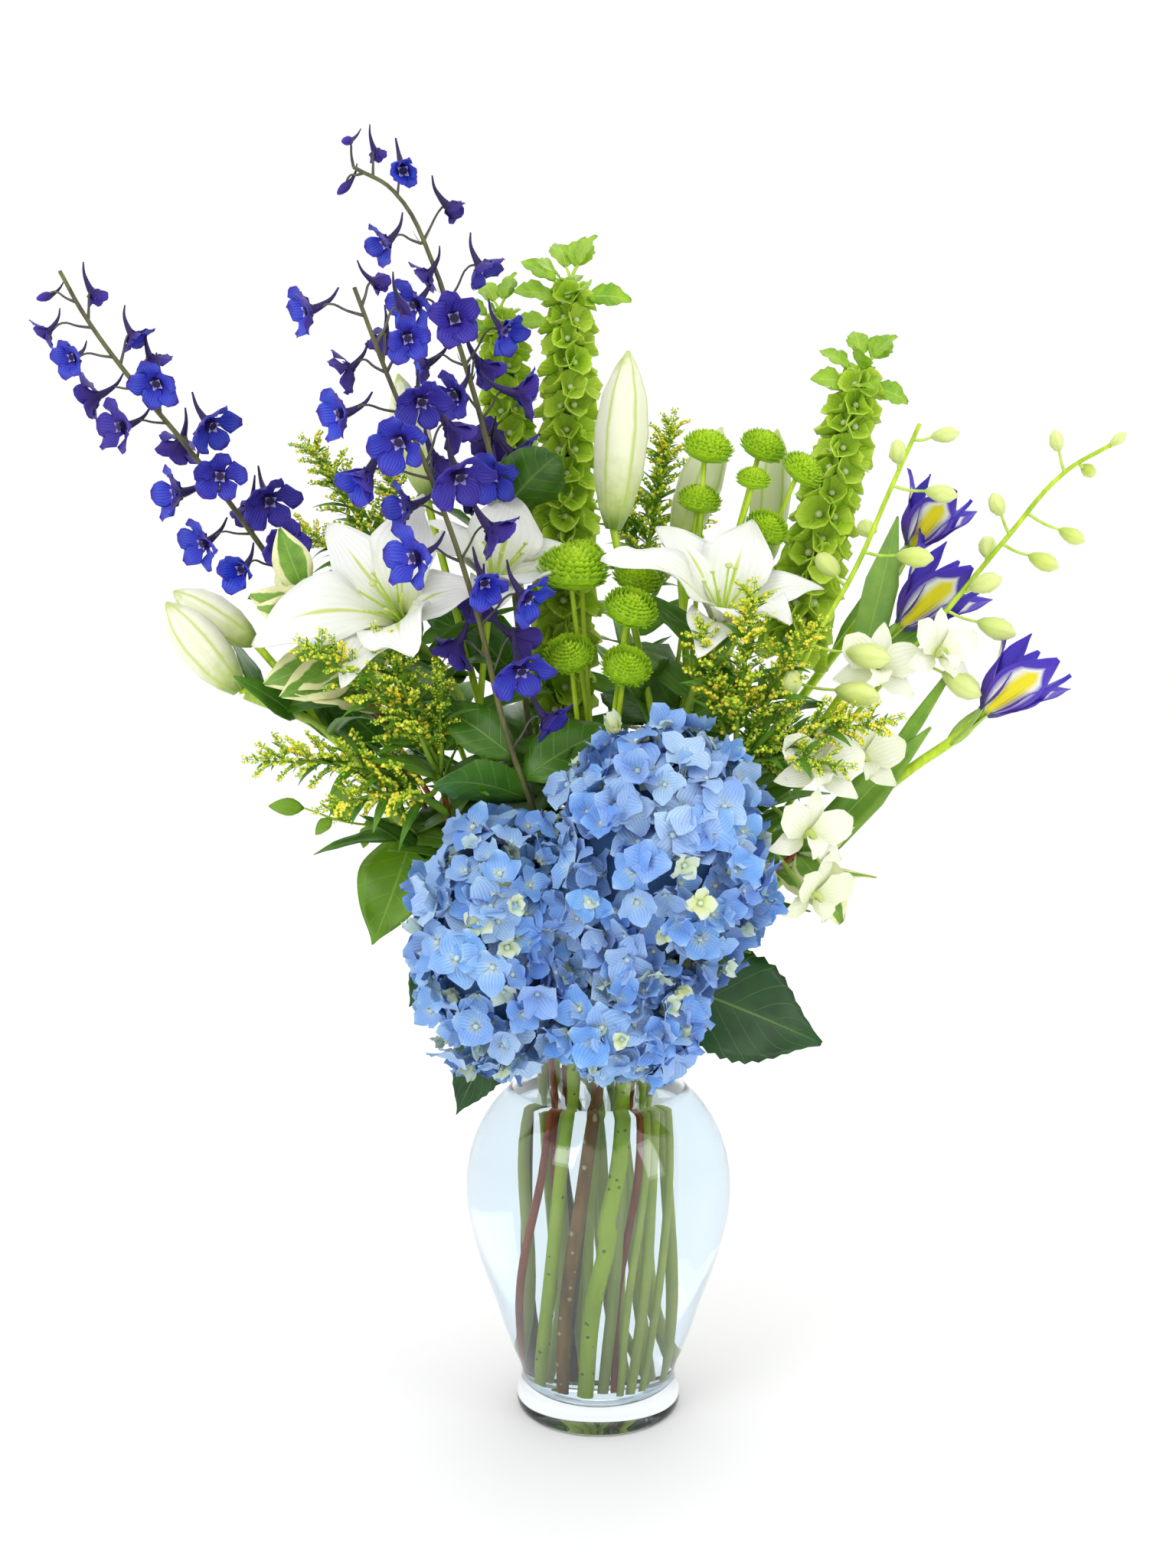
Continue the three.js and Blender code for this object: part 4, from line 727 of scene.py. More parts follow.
delphiniumLook = {  # florets are x, y, z and radius, the smallest are buds; kinds are seed, spread, curl
    "radius": 13.0, "budRadius": 8.0, "budsBelow": 9, "bracts": 0.45, "spur": 17.0,
    "kinds": [(1, 0.85, 0.35), (2, 0.6, 0.1), (3, 0.4, -0.4), (4, 1.0, 0.7), (5, 0.5, -0.6), (7, 0.3, -0.1)],
    "stem": (2.5, 1.1),
    "spikes": {
        "front": {
            "path": [
                "middle", 0, (-8, -30, 285), (-30, -56, 345), (-47, -74, 395), (-65, -82, 470),
                (-82, -88, 522), (-106, -94, 581), (-121, -98, 622),
            ],
            "florets": [
                (-144, -102, 610, 11), (-111, -88, 626, 6), (-97, -84, 612, 8), (-94, -108, 596, 11),
                (-127, -84, 584, 11), (-128, -104, 560, 12), (-88, -104, 566, 13), (-98, -112, 546, 14),
                (-116, -100, 531, 14), (-76, -80, 556, 12), (-70, -102, 530, 14), (-98, -84, 516, 13),
                (-92, -104, 490, 14), (-55, -84, 505, 14), (-37, -92, 470, 14), (-43, -74, 450, 13),
                (-40, -98, 434, 14), (-74, -70, 446, 12), (-27, -84, 408, 12), (-84, -76, 540, 12),
                (-58, -100, 478, 13), (-62, -70, 470, 12), (-108, -82, 600, 10),
            ],
        },
        "tall": {
            "path": [
                "middle", 6, (-30, 12, 300), (-40, 4, 400), (-54, -5, 521), (-66, -4, 572), (-78, -3, 612),
                (-90, -2, 650), (-112, -1, 691), (-134, 0, 704),
            ],
            "florets": [
                (-138, -6, 716, 6), (-122, 2, 712, 5), (-142, 4, 692, 6), (-106, -10, 700, 8),
                (-82, 6, 684, 7), (-116, -8, 662, 12), (-64, -2, 650, 12), (-100, -16, 628, 13),
                (-78, -20, 620, 14), (-98, 12, 600, 12), (-52, -6, 616, 12), (-44, -8, 582, 14),
                (-46, 2, 549, 14), (-78, -18, 580, 13), (-62, 16, 560, 12), (-94, -4, 646, 10),
                (-66, 12, 600, 12), (-58, -22, 536, 13), (-68, 10, 530, 12),
            ],
        },
        "left": {
            "path": [
                "outer", 10, (-62, 8, 280), (-110, 6, 370), (-160, 2, 455), (-192, -2, 504), (-226, -8, 552),
                (-256, -14, 590), (-278, -18, 622), (-290, -20, 645),
            ],
            "florets": [
                (-300, -24, 630, 6), (-274, -14, 634, 6), (-298, -22, 612, 9), (-282, -30, 598, 10),
                (-254, -10, 612, 10), (-276, -10, 580, 12), (-238, -26, 585, 13), (-258, -26, 562, 13),
                (-212, -14, 564, 13), (-234, 6, 556, 12), (-230, -20, 527, 14), (-206, -22, 536, 13),
                (-182, -10, 524, 14), (-218, -14, 500, 13), (-172, -14, 500, 13), (-196, 10, 520, 12),
                (-196, -18, 486, 12), (-246, -4, 600, 10),
            ],
        },
    },
}
delphiniumPetal = petalFinish("delphiniumPetal", {
    "stops": [
        (0.0, (60, 40, 130)), (0.14, (52, 58, 190)), (0.4, (44, 62, 214)), (0.75, (66, 92, 226)),
        (1.0, (74, 54, 186)),
    ],
    "tintTo": (66, 40, 144), "lineColour": (28, 24, 130), "roughness": 0.5, "sheen": 0.03, "tintShare": 0.9,
    "lines": 4, "lineWander": 1.5, "lineShare": 0.5, "relief": 0.4,
})
delphiniumBack = petalFinish("delphiniumBack", {
    "stops": [(0.0, (42, 24, 86)), (0.5, (60, 36, 134)), (1.0, (70, 52, 178))], "tintTo": (42, 26, 92),
    "lineColour": (34, 20, 96), "roughness": 0.55, "sheen": 0.03, "tintShare": 0.6, "lines": 4,
    "lineShare": 0.4,
})
delphiniumSpur = petalFinish("delphiniumSpur", {
    "stops": [(0.0, (40, 26, 78)), (0.5, (48, 30, 96)), (1.0, (54, 40, 104))], "tintTo": (38, 28, 56),
    "lineColour": (30, 18, 66), "roughness": 0.5, "sheen": 0.03, "tintShare": 0.7, "lineShare": 0.25,
})
delphiniumBee = petalFinish("delphiniumBee", {
    "stops": [(0.0, (40, 26, 60)), (0.5, (120, 112, 190)), (1.0, (206, 204, 232))], "tintTo": (60, 50, 140),
    "lineColour": (60, 50, 120), "lineShare": 0.25,
})


def formDelphinium(seed, spread, curl, size=1.0):  # five petals on a short tube, at an angle from its axis
    chance = random.Random(seed)
    pieces = []
    for k in range(5):
        out = spoke(2 * pi * k / 5 + pi / 2 + chance.uniform(-0.12, 0.12))
        opened = spread + chance.uniform(-0.14, 0.18)
        own = size * chance.uniform(0.9, 1.1)
        along = out * sin(opened) + Vector((0, cos(opened), 0))
        matrix = standing(out * 0.0016 + mm(0, 0.6 * (k % 2), 0), along, yAxis - out * 0.2)
        pieces.append(formBlade(
            15.5 * own, 13.2 * own, "clawed", delphiniumPetal, matrix, back=delphiniumBack, across=6,
            along=7, rise=-0.25, bend=curl + chance.uniform(-0.3, 0.2), fold=0.25, wave=1.3, waves=1.8,
            twist=chance.uniform(-0.4, 0.4), thickness=0.3))
    for k in range(4):
        out = spoke(pi / 4 + pi * k / 2)
        matrix = standing(mm(0, 2, 0) + out * 0.0006, out * 0.5 + Vector((0, 0.9, 0)), yAxis)
        pieces.append(formBlade(
            4.6, 3.2, "petal", delphiniumBee, matrix, across=2, along=3, rise=0.2, bend=-0.9, fold=0.3))
    spur = delphiniumLook["spur"]
    knots = [mm(0, 4.4, -0.2), mm(0, 0.5, 0.1), mm(0, -0.35 * spur, 1.6), mm(0, -0.7 * spur, 4.2),
             mm(0, -spur, 9)]
    pieces.append(growStem(knots, [2.9, 2.6, 1.7, 1.0, 0.5], delphiniumSpur, steps=3, roundness=2))
    return joinShapes(pieces, "delphiniumFloret")


def formDelphiniumBud():
    def remould(point):
        point.x *= 1 + 0.12 * cos(5 * atan2(point.y, point.x))
    profile = [(0.6, -7.6), (1.8, -6.2), (3.2, -3), (3.5, 0), (2.7, 3.6), (1.4, 6), (0.4, 6.8)]
    bud = turnPart(profile, 8, delphiniumBack, remould)
    knots = [mm(0, -4, 0), mm(0, -9, 1.0), mm(0, -14, 3.4), mm(0, -18, 7)]
    return joinShapes([bud, growStem(knots, [2.3, 1.3, 0.8, 0.4], delphiniumSpur, steps=2)], "delphiniumBud")


openFlorets = [formDelphinium(*kind) for kind in delphiniumLook["kinds"]]
closedFlorets = [formDelphiniumBud(), formDelphinium(6, 0.25, 0.2, 0.72)]
for name, spike in delphiniumLook["spikes"].items():
    chance = random.Random(len(name) * 7)
    path, stemPieces = mainStem(delphiniumLook, spike, darkStem)
    stemPieces += leafRun(path, {**broadFoliage, "from": (0.0, 0.42), "turn": len(name)}, chance)
    pieces = []
    for x, y, z, radius in spike["florets"]:
        place = mm(x, y, z)
        root = nearestOn(path, mm(x, y, z - 12))
        away = place - root
        away.z = 0
        nod = -0.4 + chance.uniform(-0.75, 0.35)
        sway = Vector((chance.uniform(-0.35, 0.35), chance.uniform(-0.8, 0.35), nod))
        facing = (away.normalized() + sway).normalized()
        closed = radius < delphiniumLook["budsBelow"]
        pattern = chance.choice(closedFlorets if closed else openFlorets)
        size = radius / delphiniumLook["budRadius" if closed else "radius"] * chance.uniform(0.94, 1.08)
        matrix = standing(place - facing * 0.003, facing, Vector((chance.uniform(-0.3, 0.3), 0, 1)), size)
        pieces.append(copyTo(pattern, matrix, chance.random() ** 1.1))
        joint = place - facing * 0.0045 * size - mm(0, 0, 1)
        rise = mm(0, 0, chance.uniform(1.5, 5.5))
        knots = [root, root.lerp(joint, 0.35) + rise * 0.4, root.lerp(joint, 0.72) + rise, joint]
        stemPieces.append(growStem(knots, [0.95, 0.7, 0.6, 0.7], thinStalk, steps=4))
        if chance.random() < delphiniumLook["bracts"]:  # a thin one beside the stalk
            matrix = standing(root, away.normalized() + Vector((chance.uniform(-0.5, 0.5), 0, 0.9)))
            stemPieces.append(formBlade(9, 1.6, "pointed", thinStalk, matrix, across=2, along=3, bend=0.6))
    finishPiece(pieces, "delphiniumFlorets_" + name, "delphinium_petals", "delphinium_" + name)
    finishPiece(stemPieces, "delphiniumStem_" + name, "green_stems", "delphinium_" + name)
discard(*openFlorets, *closedFlorets)
print("delphiniums made")


# --- bells of Ireland

bellLook = {  # leaves are share of the stem, direction and length
    "cups": 6,
    "profile": [
        (0.7, 0), (2.2, 1.4), (4.6, 4.2), (6.8, 7.6), (8.2, 10.8), (8.9, 12.2), (8.2, 12.0), (6.4, 8.8),
        (3.8, 5.6), (1.0, 4.0),
    ],
    "stem": (2.6, 2.7), "spacing": 12.2,
    "leaves": [(0.6, (-0.8, 0.3, 0.3), 30), (0.68, (0.6, 0.7, 0.2), 32), (0.74, (0.3, -0.8, 0.3), 28)],
    "spikes": {
        "tall": {
            "base": (-22, 36, 400), "tip": (-16, 35, 648), "cup": (1.24, 0.84), "crown": 25, "seed": 2,
            "path": ["inner", 2, (-12, 16, 330), (-22, 36, 442), (-16, 35, 652)],
        },
        "small": {
            "base": (-48, 62, 500), "tip": (-58, 65, 636), "cup": (1.1, 0.78), "crown": 21, "seed": 6,
            "path": ["middle", 5, (-26, 42, 330), (-44, 60, 440), (-50, 64, 532), (-58, 65, 640)],
        },
        "right": {
            "base": (110, 20, 440), "tip": (148, 15, 596), "cup": (1.22, 0.84), "crown": 22, "seed": 8,
            "path": ["middle", 4, (50, 30, 310), (90, 26, 395), (119, 18, 472), (148, 15, 600)],
        },
    },
}
# darker green towards the bottom: partly the cup's own greener base, partly painted shade in its hollow;
# paler at the rim
bellCup = petalFinish("bellCup", {
    "stops": [
        (0.0, (112, 152, 12)), (0.4, (150, 194, 18)), (0.8, (178, 214, 36)), (0.94, (190, 222, 60)),
        (1.0, (224, 238, 140)),
    ],
    "tintTo": (206, 226, 84), "lineColour": (190, 218, 110), "roughness": 0.5, "sheen": 0.05, "lines": 10,
    "lineWander": 1.2, "lineShare": 0.35, "relief": 0.45,
})
bellFloret = petalFinish("bellFloret", {
    "stops": [(0.0, (120, 160, 40)), (1.0, (206, 216, 150))], "tintTo": (236, 232, 214),
    "lineColour": (180, 200, 110), "roughness": 0.55, "lineShare": 0.25,
})
bellLeaf = leafFinish("bellLeaf", {
    "tintTo": (186, 214, 80), "dark": (106, 158, 20), "light": (156, 200, 40), "vein": (200, 224, 110),
    "mottle": 120, "veins": 6,
})


def formBellCup(seed):  # a shell-like cup with a wavy rim, drawn out below, and a tiny flower inside
    chance = random.Random(seed)
    turn, lobes = chance.uniform(0, 2 * pi), chance.uniform(0.8, 1.2)

    def remould(point):
        angle, reach = atan2(point.y, point.x), hypot(point.x, point.y) / 0.009
        outward = max(0, reach - 0.4)
        ripple = 0.0034 * cos(5 * angle + turn) * lobes + 0.0018 * cos(3 * angle - turn)
        point.z += ripple * outward ** 1.4 + 0.3 * point.y
        point.x *= 0.9 + 0.24 * outward * sin(2 * angle + turn)
        point.y *= 1.2

    cup = turnPart(bellLook["profile"], 12, bellCup, remould)
    inside = turnPart([(0.8, 3), (1.8, 5.6), (2.1, 7.0), (0.6, 8.2)], 6, bellFloret)
    return joinShapes([cup, inside], "bellCup")


cupPatterns = [formBellCup(seed) for seed in (1, 2, 3)]
for name, spike in bellLook["spikes"].items():
    chance = random.Random(spike["seed"])
    base, tip = mm(*spike["base"]), mm(*spike["tip"])
    axis = (tip - base).normalized()
    side, back = sidesOf(axis)
    front = -back
    whorls = int((tip - base).length * 1000 / bellLook["spacing"])
    path, pieces = mainStem(bellLook, spike, softStem)
    pieces += leafRun(path, {**broadFoliage, "from": (0.0, 0.5), "turn": spike["seed"]}, chance)
    for k in range(whorls):
        share = (k + 0.3) / whorls
        reach = spike["cup"][0] + (spike["cup"][1] - spike["cup"][0]) * share ** 1.4
        for i in range(bellLook["cups"]):
            angle = 2 * pi * (i + 0.5 * (k % 2)) / bellLook["cups"] + chance.uniform(-0.2, 0.2)
            out = spoke(angle, side, front)
            lean = 0.12 + 0.25 * share + chance.uniform(-0.18, 0.18)
            facing = (out + axis * lean + side * chance.uniform(-0.2, 0.2)).normalized()
            rise = share * (tip - base).length + chance.uniform(-0.0015, 0.0015)
            root = base + axis * rise + out * 0.0018
            size = reach * chance.uniform(0.88, 1.08)
            matrix = standing(root, facing, axis + jitter(chance, 0.4), size)
            pieces.append(copyTo(chance.choice(cupPatterns), matrix, chance.random() ** 1.4))
    for i in range(9):  # crown leaves, three and three, the last ones upright
        tier = i // 3
        out = spoke(2 * pi * i / 9 * 2 + 0.4 + chance.uniform(-0.2, 0.2), side, front)
        upright = (-0.1, 0.4, 1.7)[tier] + chance.uniform(-0.1, 0.15)
        along = (out + axis * upright).normalized()
        start = tip + axis * (-0.006 + 0.004 * tier)
        root = start + along * 0.4 * spike["crown"] / 1000
        tilt = axis * 0.5 - out * 0.4
        stalk = [start, start.lerp(root, 0.6) + axis * 0.001, root]
        pieces.append(growStem(stalk, [1.2, 0.8, 0.7], paleStem, steps=2))
        pieces.append(formBlade(
            spike["crown"] * (1.02 - 0.12 * tier), spike["crown"] * 0.68, "oval", bellLeaf, across=6,
            along=10, rise=0.25, bend=-chance.uniform(0.3, 0.9), fold=0.2, wave=0.7, teeth=0.07,
            thickness=0.3,
            matrix=standing(root, along, tilt + Vector((chance.uniform(-0.3, 0.3), -0.7, 0))),
            tint=chance.random()))
    pieces += leavesOn(path, bellLook["leaves"], chance, "oval", bellLeaf, 22, across=6, along=10, rise=0.2,
                       bend=-0.8, fold=0.2, teeth=0.07, wave=1.0, thickness=0.3)
    finishPiece(pieces, "bellsOfIreland_" + name, "bell_cups", "bells_of_ireland_" + name)
discard(*cupPatterns)
print("bells of Ireland made")


# --- lilies

lilyLook = {  # petals are turn, length, how far it curls back; branches are share, end, bud's tip and radius
    "inner": 41, "outer": 29, "thickness": 0.55, "filament": 32,
    "funnel": [(2.2, -17), (3.4, -10), (5.6, -3), (7.4, 3), (6.6, 3), (4.4, -3), (2.0, -10)],
    "anther": [(0.3, -1.4), (0.8, -0.8), (0.8, 0.8), (0.3, 1.4)],
    "pistil": [(0.6, -1), (1.9, 0), (2.2, 1), (0.7, 1.9)],
    "blooms": {
        "left": {
            "throat": (-104, -52, 458), "facing": (-0.3, -0.8, 0.5),
            "petals": [
                (0.2, 60, 1.8), (1.25, 70, 1.2), (2.35, 76, 1.7), (3.5, 90, 1.9), (4.45, 62, 1.6),
                (5.35, 66, 1.2),
            ],
        },
        "middle": {
            "throat": (-58, -30, 474), "facing": (0.25, -0.5, 0.8),
            "petals": [
                (0.1, 62, 1.6), (1.15, 58, 1.1), (2.2, 56, 1.6), (3.2, 56, 1.2), (4.3, 52, 1.6),
                (5.3, 56, 1.1),
            ],
        },
        "right": {
            "throat": (66, -34, 456), "facing": (0.05, -0.6, 0.8),
            "petals": [
                (0.1, 64, 1.7), (1.15, 62, 1.1), (2.1, 74, 1.6), (3.2, 86, 1.3), (4.3, 58, 1.8),
                (5.3, 58, 1.3),
            ],
        },
    },
    "budShape": [(0, 0.3), (0.12, 0.62), (0.3, 0.9), (0.55, 1.0), (0.75, 0.82), (0.9, 0.45), (1, 0.06)],
    "stem": (2.8, 2.7),
    "stems": {
        "left": {
            "path": ["middle", 8, (-34, -18, 300), (-62, -24, 380), (-84, -32, 430), (-99, -46, 448)],
            "branches": [(0.78, (-60, -26, 466), None, 0), (0.7, (-98, 18, 528), (-113, 18, 596), 11)],
            "leaves": [
                (0.7, (-0.6, 0.3, 0.5), 74, 15), (0.62, (0.2, -0.7, 0.6), 60, 14),
                (0.8, (-0.9, -0.2, 0.2), 58, 13),
            ],
        },
        "right": {
            "path": ["middle", 1, (28, -20, 300), (42, -24, 380), (56, -26, 430), (65, -31, 447)],
            "branches": [
                (0.72, (8, -14, 508), (16, -14, 604), 15), (0.82, (46, 26, 500), (71, 34, 568), 13),
                (0.7, (97, 44, 488), (104, 44, 568), 12),
            ],
            "leaves": [
                (0.66, (0.5, 0.6, 0.4), 70, 15), (0.75, (-0.4, 0.2, 0.8), 66, 14),
                (0.84, (0.8, -0.3, 0.3), 60, 13),
            ],
        },
        "far_left": {
            "path": ["outer", 11, (-66, -16, 290), (-112, -24, 350), (-150, -30, 398), (-193, -32, 418)],
            "branches": [
                (0.88, (-190, -18, 446), (-234, -18, 474), 12),
                (0.99, (-196, -32, 420), (-234, -34, 468), 13),
            ],
            "leaves": [
                (0.86, (-0.7, 0.2, 0.6), 66, 15), (0.72, (-0.8, -0.4, 0.1), 60, 14),
                (0.78, (-0.3, 0.6, 0.6), 60, 13),
            ],
        },
    },
}
lilyPetal = petalFinish("lilyPetal", {
    "stops": [
        (0.0, (186, 206, 96)), (0.12, (222, 230, 166)), (0.28, (236, 238, 220)), (0.6, (243, 244, 241)),
        (1.0, (241, 241, 234)),
    ],
    "tintTo": (232, 235, 230), "lineColour": (228, 232, 214),
    "tongue": (0.09, 0.72, [(222, 226, 172), (204, 214, 130)]), "roughness": 0.42, "sheen": 0.05,
    "mottle": 90, "lines": 5, "relief": 0.3,
})
lilyBud = petalFinish("lilyBud", {
    "stops": [
        (0.0, (128, 162, 66)), (0.16, (196, 210, 136)), (0.4, (238, 238, 212)), (0.86, (240, 240, 218)),
        (1.0, (188, 204, 112)),
    ],
    "tintTo": (186, 204, 112), "lineColour": (184, 204, 92), "roughness": 0.42, "tintShare": 0.35,
    "lines": 3, "lineWander": 0.25, "lineSharp": 26.0, "lineShare": 0.8, "relief": 0.2,
})
lilyHeart = petalFinish("lilyHeart", {
    "stops": [(0.0, (176, 196, 90)), (1.0, (214, 222, 140))], "tintTo": (196, 206, 110),
    "lineColour": (170, 190, 84), "lineShare": 0.25,
})
lilyLeaf = leafFinish("lilyLeaf", {
    "tintTo": (120, 160, 60), "dark": (50, 98, 22), "light": (88, 140, 38), "vein": (120, 160, 80),
    "roughness": 0.35, "mottle": 60, "veinShare": 0.1, "midribFine": 10,
})

for name, bloom in lilyLook["blooms"].items():
    chance = random.Random(len(name))
    throat, axis = mm(*bloom["throat"]), Vector(bloom["facing"]).normalized()
    side = -axis.cross(zAxis).normalized()
    upward = axis.cross(side).normalized()
    if upward.z < 0:
        upward.negate()
    pieces = []
    for i, (turn, length, curl) in enumerate(bloom["petals"]):
        broad = i % 2
        out = spoke(turn, side, upward)
        root = throat + out * 0.0035 + axis * (-0.001 if broad else -0.004)
        pieces.append(formBlade(
            length, lilyLook["inner" if broad else "outer"], "flare", lilyPetal,
            standing(root, axis + out * 0.75, -out), across=8, along=18, rise=0.35, bend=-curl, fold=0.2,
            wave=3.6 if broad else 1.8, waves=2.2, twist=chance.uniform(-0.3, 0.3),
            thickness=lilyLook["thickness"], tint=chance.random()))
    funnel = turnPart(lilyLook["funnel"], 12, lilyBud)
    pieces.append(put(funnel, standing(throat, axis), 0.6))
    for i in range(7):  # six stamens round a longer pistil
        pistil = i == 6
        out = spoke(i / 6 * 2 * pi, side, upward) * (0 if pistil else 1)
        reach = lilyLook["filament"] * (1.2 if pistil else chance.uniform(0.85, 1.0))
        root = throat + out * 0.0015
        end = throat + axis * reach / 1000 + out * 0.012
        stalk = [root, root.lerp(end, 0.5) - out * 0.002, end]
        pieces.append(growStem(stalk, [0.9, 0.7, 0.6], paleStem, steps=3))
        tipShape = mapByHeight(turnUp(lilyLook["pistil"], 9) if pistil else turnUp(lilyLook["anther"], 6))
        matrix = standing(end, axis if pistil else side, axis) @ quarterTurn
        pieces.append(dress(put(tipShape, matrix, chance.random()), lilyHeart))
    finishPiece(pieces, "lilyBloom_" + name, "lily_petals", "lily_bloom_" + name)


def formBud(base, tip, radius):  # a long bud with three seams
    def remould(point):
        angle = atan2(point.y, point.x)
        swell = 1 + 0.06 * cos(3 * angle) - 0.05 * abs(sin(1.5 * angle)) ** 12
        point.x *= swell
        point.y *= swell
    length = (tip - base).length * 1000
    profile = [(share * radius, place * length) for place, share in lilyLook["budShape"]]
    return turnPart(profile, 18, lilyBud, remould)


for name, plant in lilyLook["stems"].items():
    chance = random.Random(len(name) + 20)
    path, pieces = mainStem(lilyLook, plant, softStem, 3)
    for share, to, budTip, radius in plant["branches"]:
        root, end = alongPath(path, share), mm(*to)
        pieces.append(stalkTo(root, end, 2, [2.3, 2.0, 2.2], greenStem))
        if budTip:
            tip = mm(*budTip)
            pieces.append(put(formBud(end, tip, radius), standing(end, tip - end), chance.random()))
    pieces += leavesOn(path, plant["leaves"], chance, "pointed", lilyLeaf, across=4, along=10, rise=0.2,
                       bend=-0.8, fold=0.25, wave=0.6, thickness=0.4)
    pieces += leafRun(path, {"count": 15, "from": (0.15, 0.98), "size": (64, 17), "outline": "pointed",
                             "material": lilyLeaf, "wave": 0.5}, chance)
    finishPiece(pieces, "lilyStem_" + name, "lily_buds", "lily_stem_" + name)
print("lilies made")


# --- green button mums

mumLook = {  # rings are count and lift; heads are x, y, z, radius and how far they look forward
    "heart": [(2, -4.6), (6.6, -3.4), (8.2, -1), (7.8, 1.2), (5.6, 3.2), (2.2, 4.2)],
    "rings": [
        (26, -0.6), (28, -0.3), (30, 0.0), (30, 0.24), (28, 0.46), (25, 0.68), (21, 0.88), (16, 1.08),
        (11, 1.26), (5, 1.46),
    ],
    "stem": (2.2, 2.1),
    "sprays": {
        "front": {
            "path": ["inner", 0, (0, -18, 300), (-2, -30, 380)],
            "heads": [
                (-14, -52, 484, 20, 0.1), (-10, -16, 492, 14, 0.1), (16, -64, 464, 15, 0.4),
                (20, -34, 480, 14, 0.1), (14, -66, 434, 14, 0.6), (-16, -58, 440, 14, 0.6),
            ],
            "leaves": [
                (0.96, (-0.85, -0.25, 0.45), 52), (0.9, (-0.7, 0.5, 0.3), 46),
                (0.93, (0.75, 0.35, 0.45), 48), (0.98, (-0.3, -0.8, 0.5), 40),
            ],
        },
        "right": {
            "path": ["inner", 1, (24, 6, 330), (54, 6, 430)],
            "heads": [
                (60, -4, 552, 15, 0.1), (92, 10, 554, 14, 0.2), (112, -8, 540, 13, 0.2),
                (56, 2, 524, 13, 0.1), (92, -14, 508, 13, 0.5), (84, -20, 534, 10, 0.1),
            ],
            "leaves": [
                (0.8, (-0.3, 0.85, 0.3), 56), (0.86, (0.7, 0.6, 0.1), 54), (0.92, (0.1, 0.9, 0.5), 50),
                (0.96, (0.9, -0.2, 0.4), 46),
            ],
        },
    },
}
mumPetal = petalFinish("mumPetal", {
    "stops": [(0.0, (112, 162, 6)), (0.35, (168, 214, 14)), (1.0, (208, 238, 64))], "tintTo": (190, 224, 44),
    "lineColour": (140, 190, 10), "sheen": 0.05, "tintShare": 0.4, "lines": 2,
})
mumLeaf = leafFinish("mumLeaf", {
    "tintTo": (110, 152, 46), "dark": (40, 84, 16), "light": (78, 124, 32), "vein": (110, 150, 70),
    "roughness": 0.5, "mottle": 110, "slant": 0.3, "veins": 5,
})
mumFoliage = {
    "count": 18, "from": (0.1, 1.0), "size": (56, 31), "outline": "oval", "material": mumLeaf, "teeth": 0.1,
    "wave": 1.4,
}


def formMum():  # short upright petals all over a flat dome, on a head of radius 10
    pieces = [turnPart(mumLook["heart"], 12, mumPetal)]
    chance = random.Random(4)
    for number, (count, lift) in enumerate(mumLook["rings"]):
        for i in range(count):
            out = spoke(2 * pi * (i + 0.5 * (number % 2)) / count + chance.uniform(-0.06, 0.06))
            up = lift + chance.uniform(-0.1, 0.1)
            along = out * cos(up) + Vector((0, sin(up) + 0.55, 0))
            start = out * cos(lift) * 0.0076 + Vector((0, sin(lift) * 0.0046, 0))
            length = (2.9 if lift > 0 else 3.4) * chance.uniform(0.85, 1.1)
            pieces.append(formBlade(
                length, 2.3, "petal", mumPetal, standing(start, along, yAxis - out * 0.6 * sin(lift)),
                across=2, along=2, rise=-0.1, bend=0.7, fold=0.5))
    return joinShapes(pieces, "mumHead")


mumHead = formMum()
for name, spray in mumLook["sprays"].items():
    chance = random.Random(len(name) * 3)
    path, stemPieces = mainStem(mumLook, spray, greenStem)
    heads = []
    for i, (x, y, z, radius, forward) in enumerate(spray["heads"]):
        place = mm(x, y, z)
        facing = Vector((place.x - path[-1].x, 0, 0.11)).normalized()
        facing = (facing + Vector((chance.uniform(-0.2, 0.2), -forward - 0.15, 0))).normalized()
        heads.append(copyTo(mumHead, standing(place, facing, size=radius / 10), chance.random()))
        root, neck = alongPath(path, 0.99 - 0.03 * i), place - facing * radius * 0.00045
        stemPieces.append(stalkTo(root, neck, -5, [1.6, 1.4, 1.5], greenStem))
    stemPieces += leavesOn(path, spray["leaves"], chance, "oval", mumLeaf, 24, across=6, along=10, rise=0.2,
                           bend=-0.7, fold=0.2, wave=1.4, teeth=0.13, thickness=0.35)
    stemPieces += leafRun(path, mumFoliage, chance)
    finishPiece(heads, "mumHeads_" + name, "mum_petals", "button_mums_" + name)
    finishPiece(stemPieces, "mumStems_" + name, "green_stems", "button_mums_" + name)
discard(mumHead)
print("button mums made")


# --- goldenrod

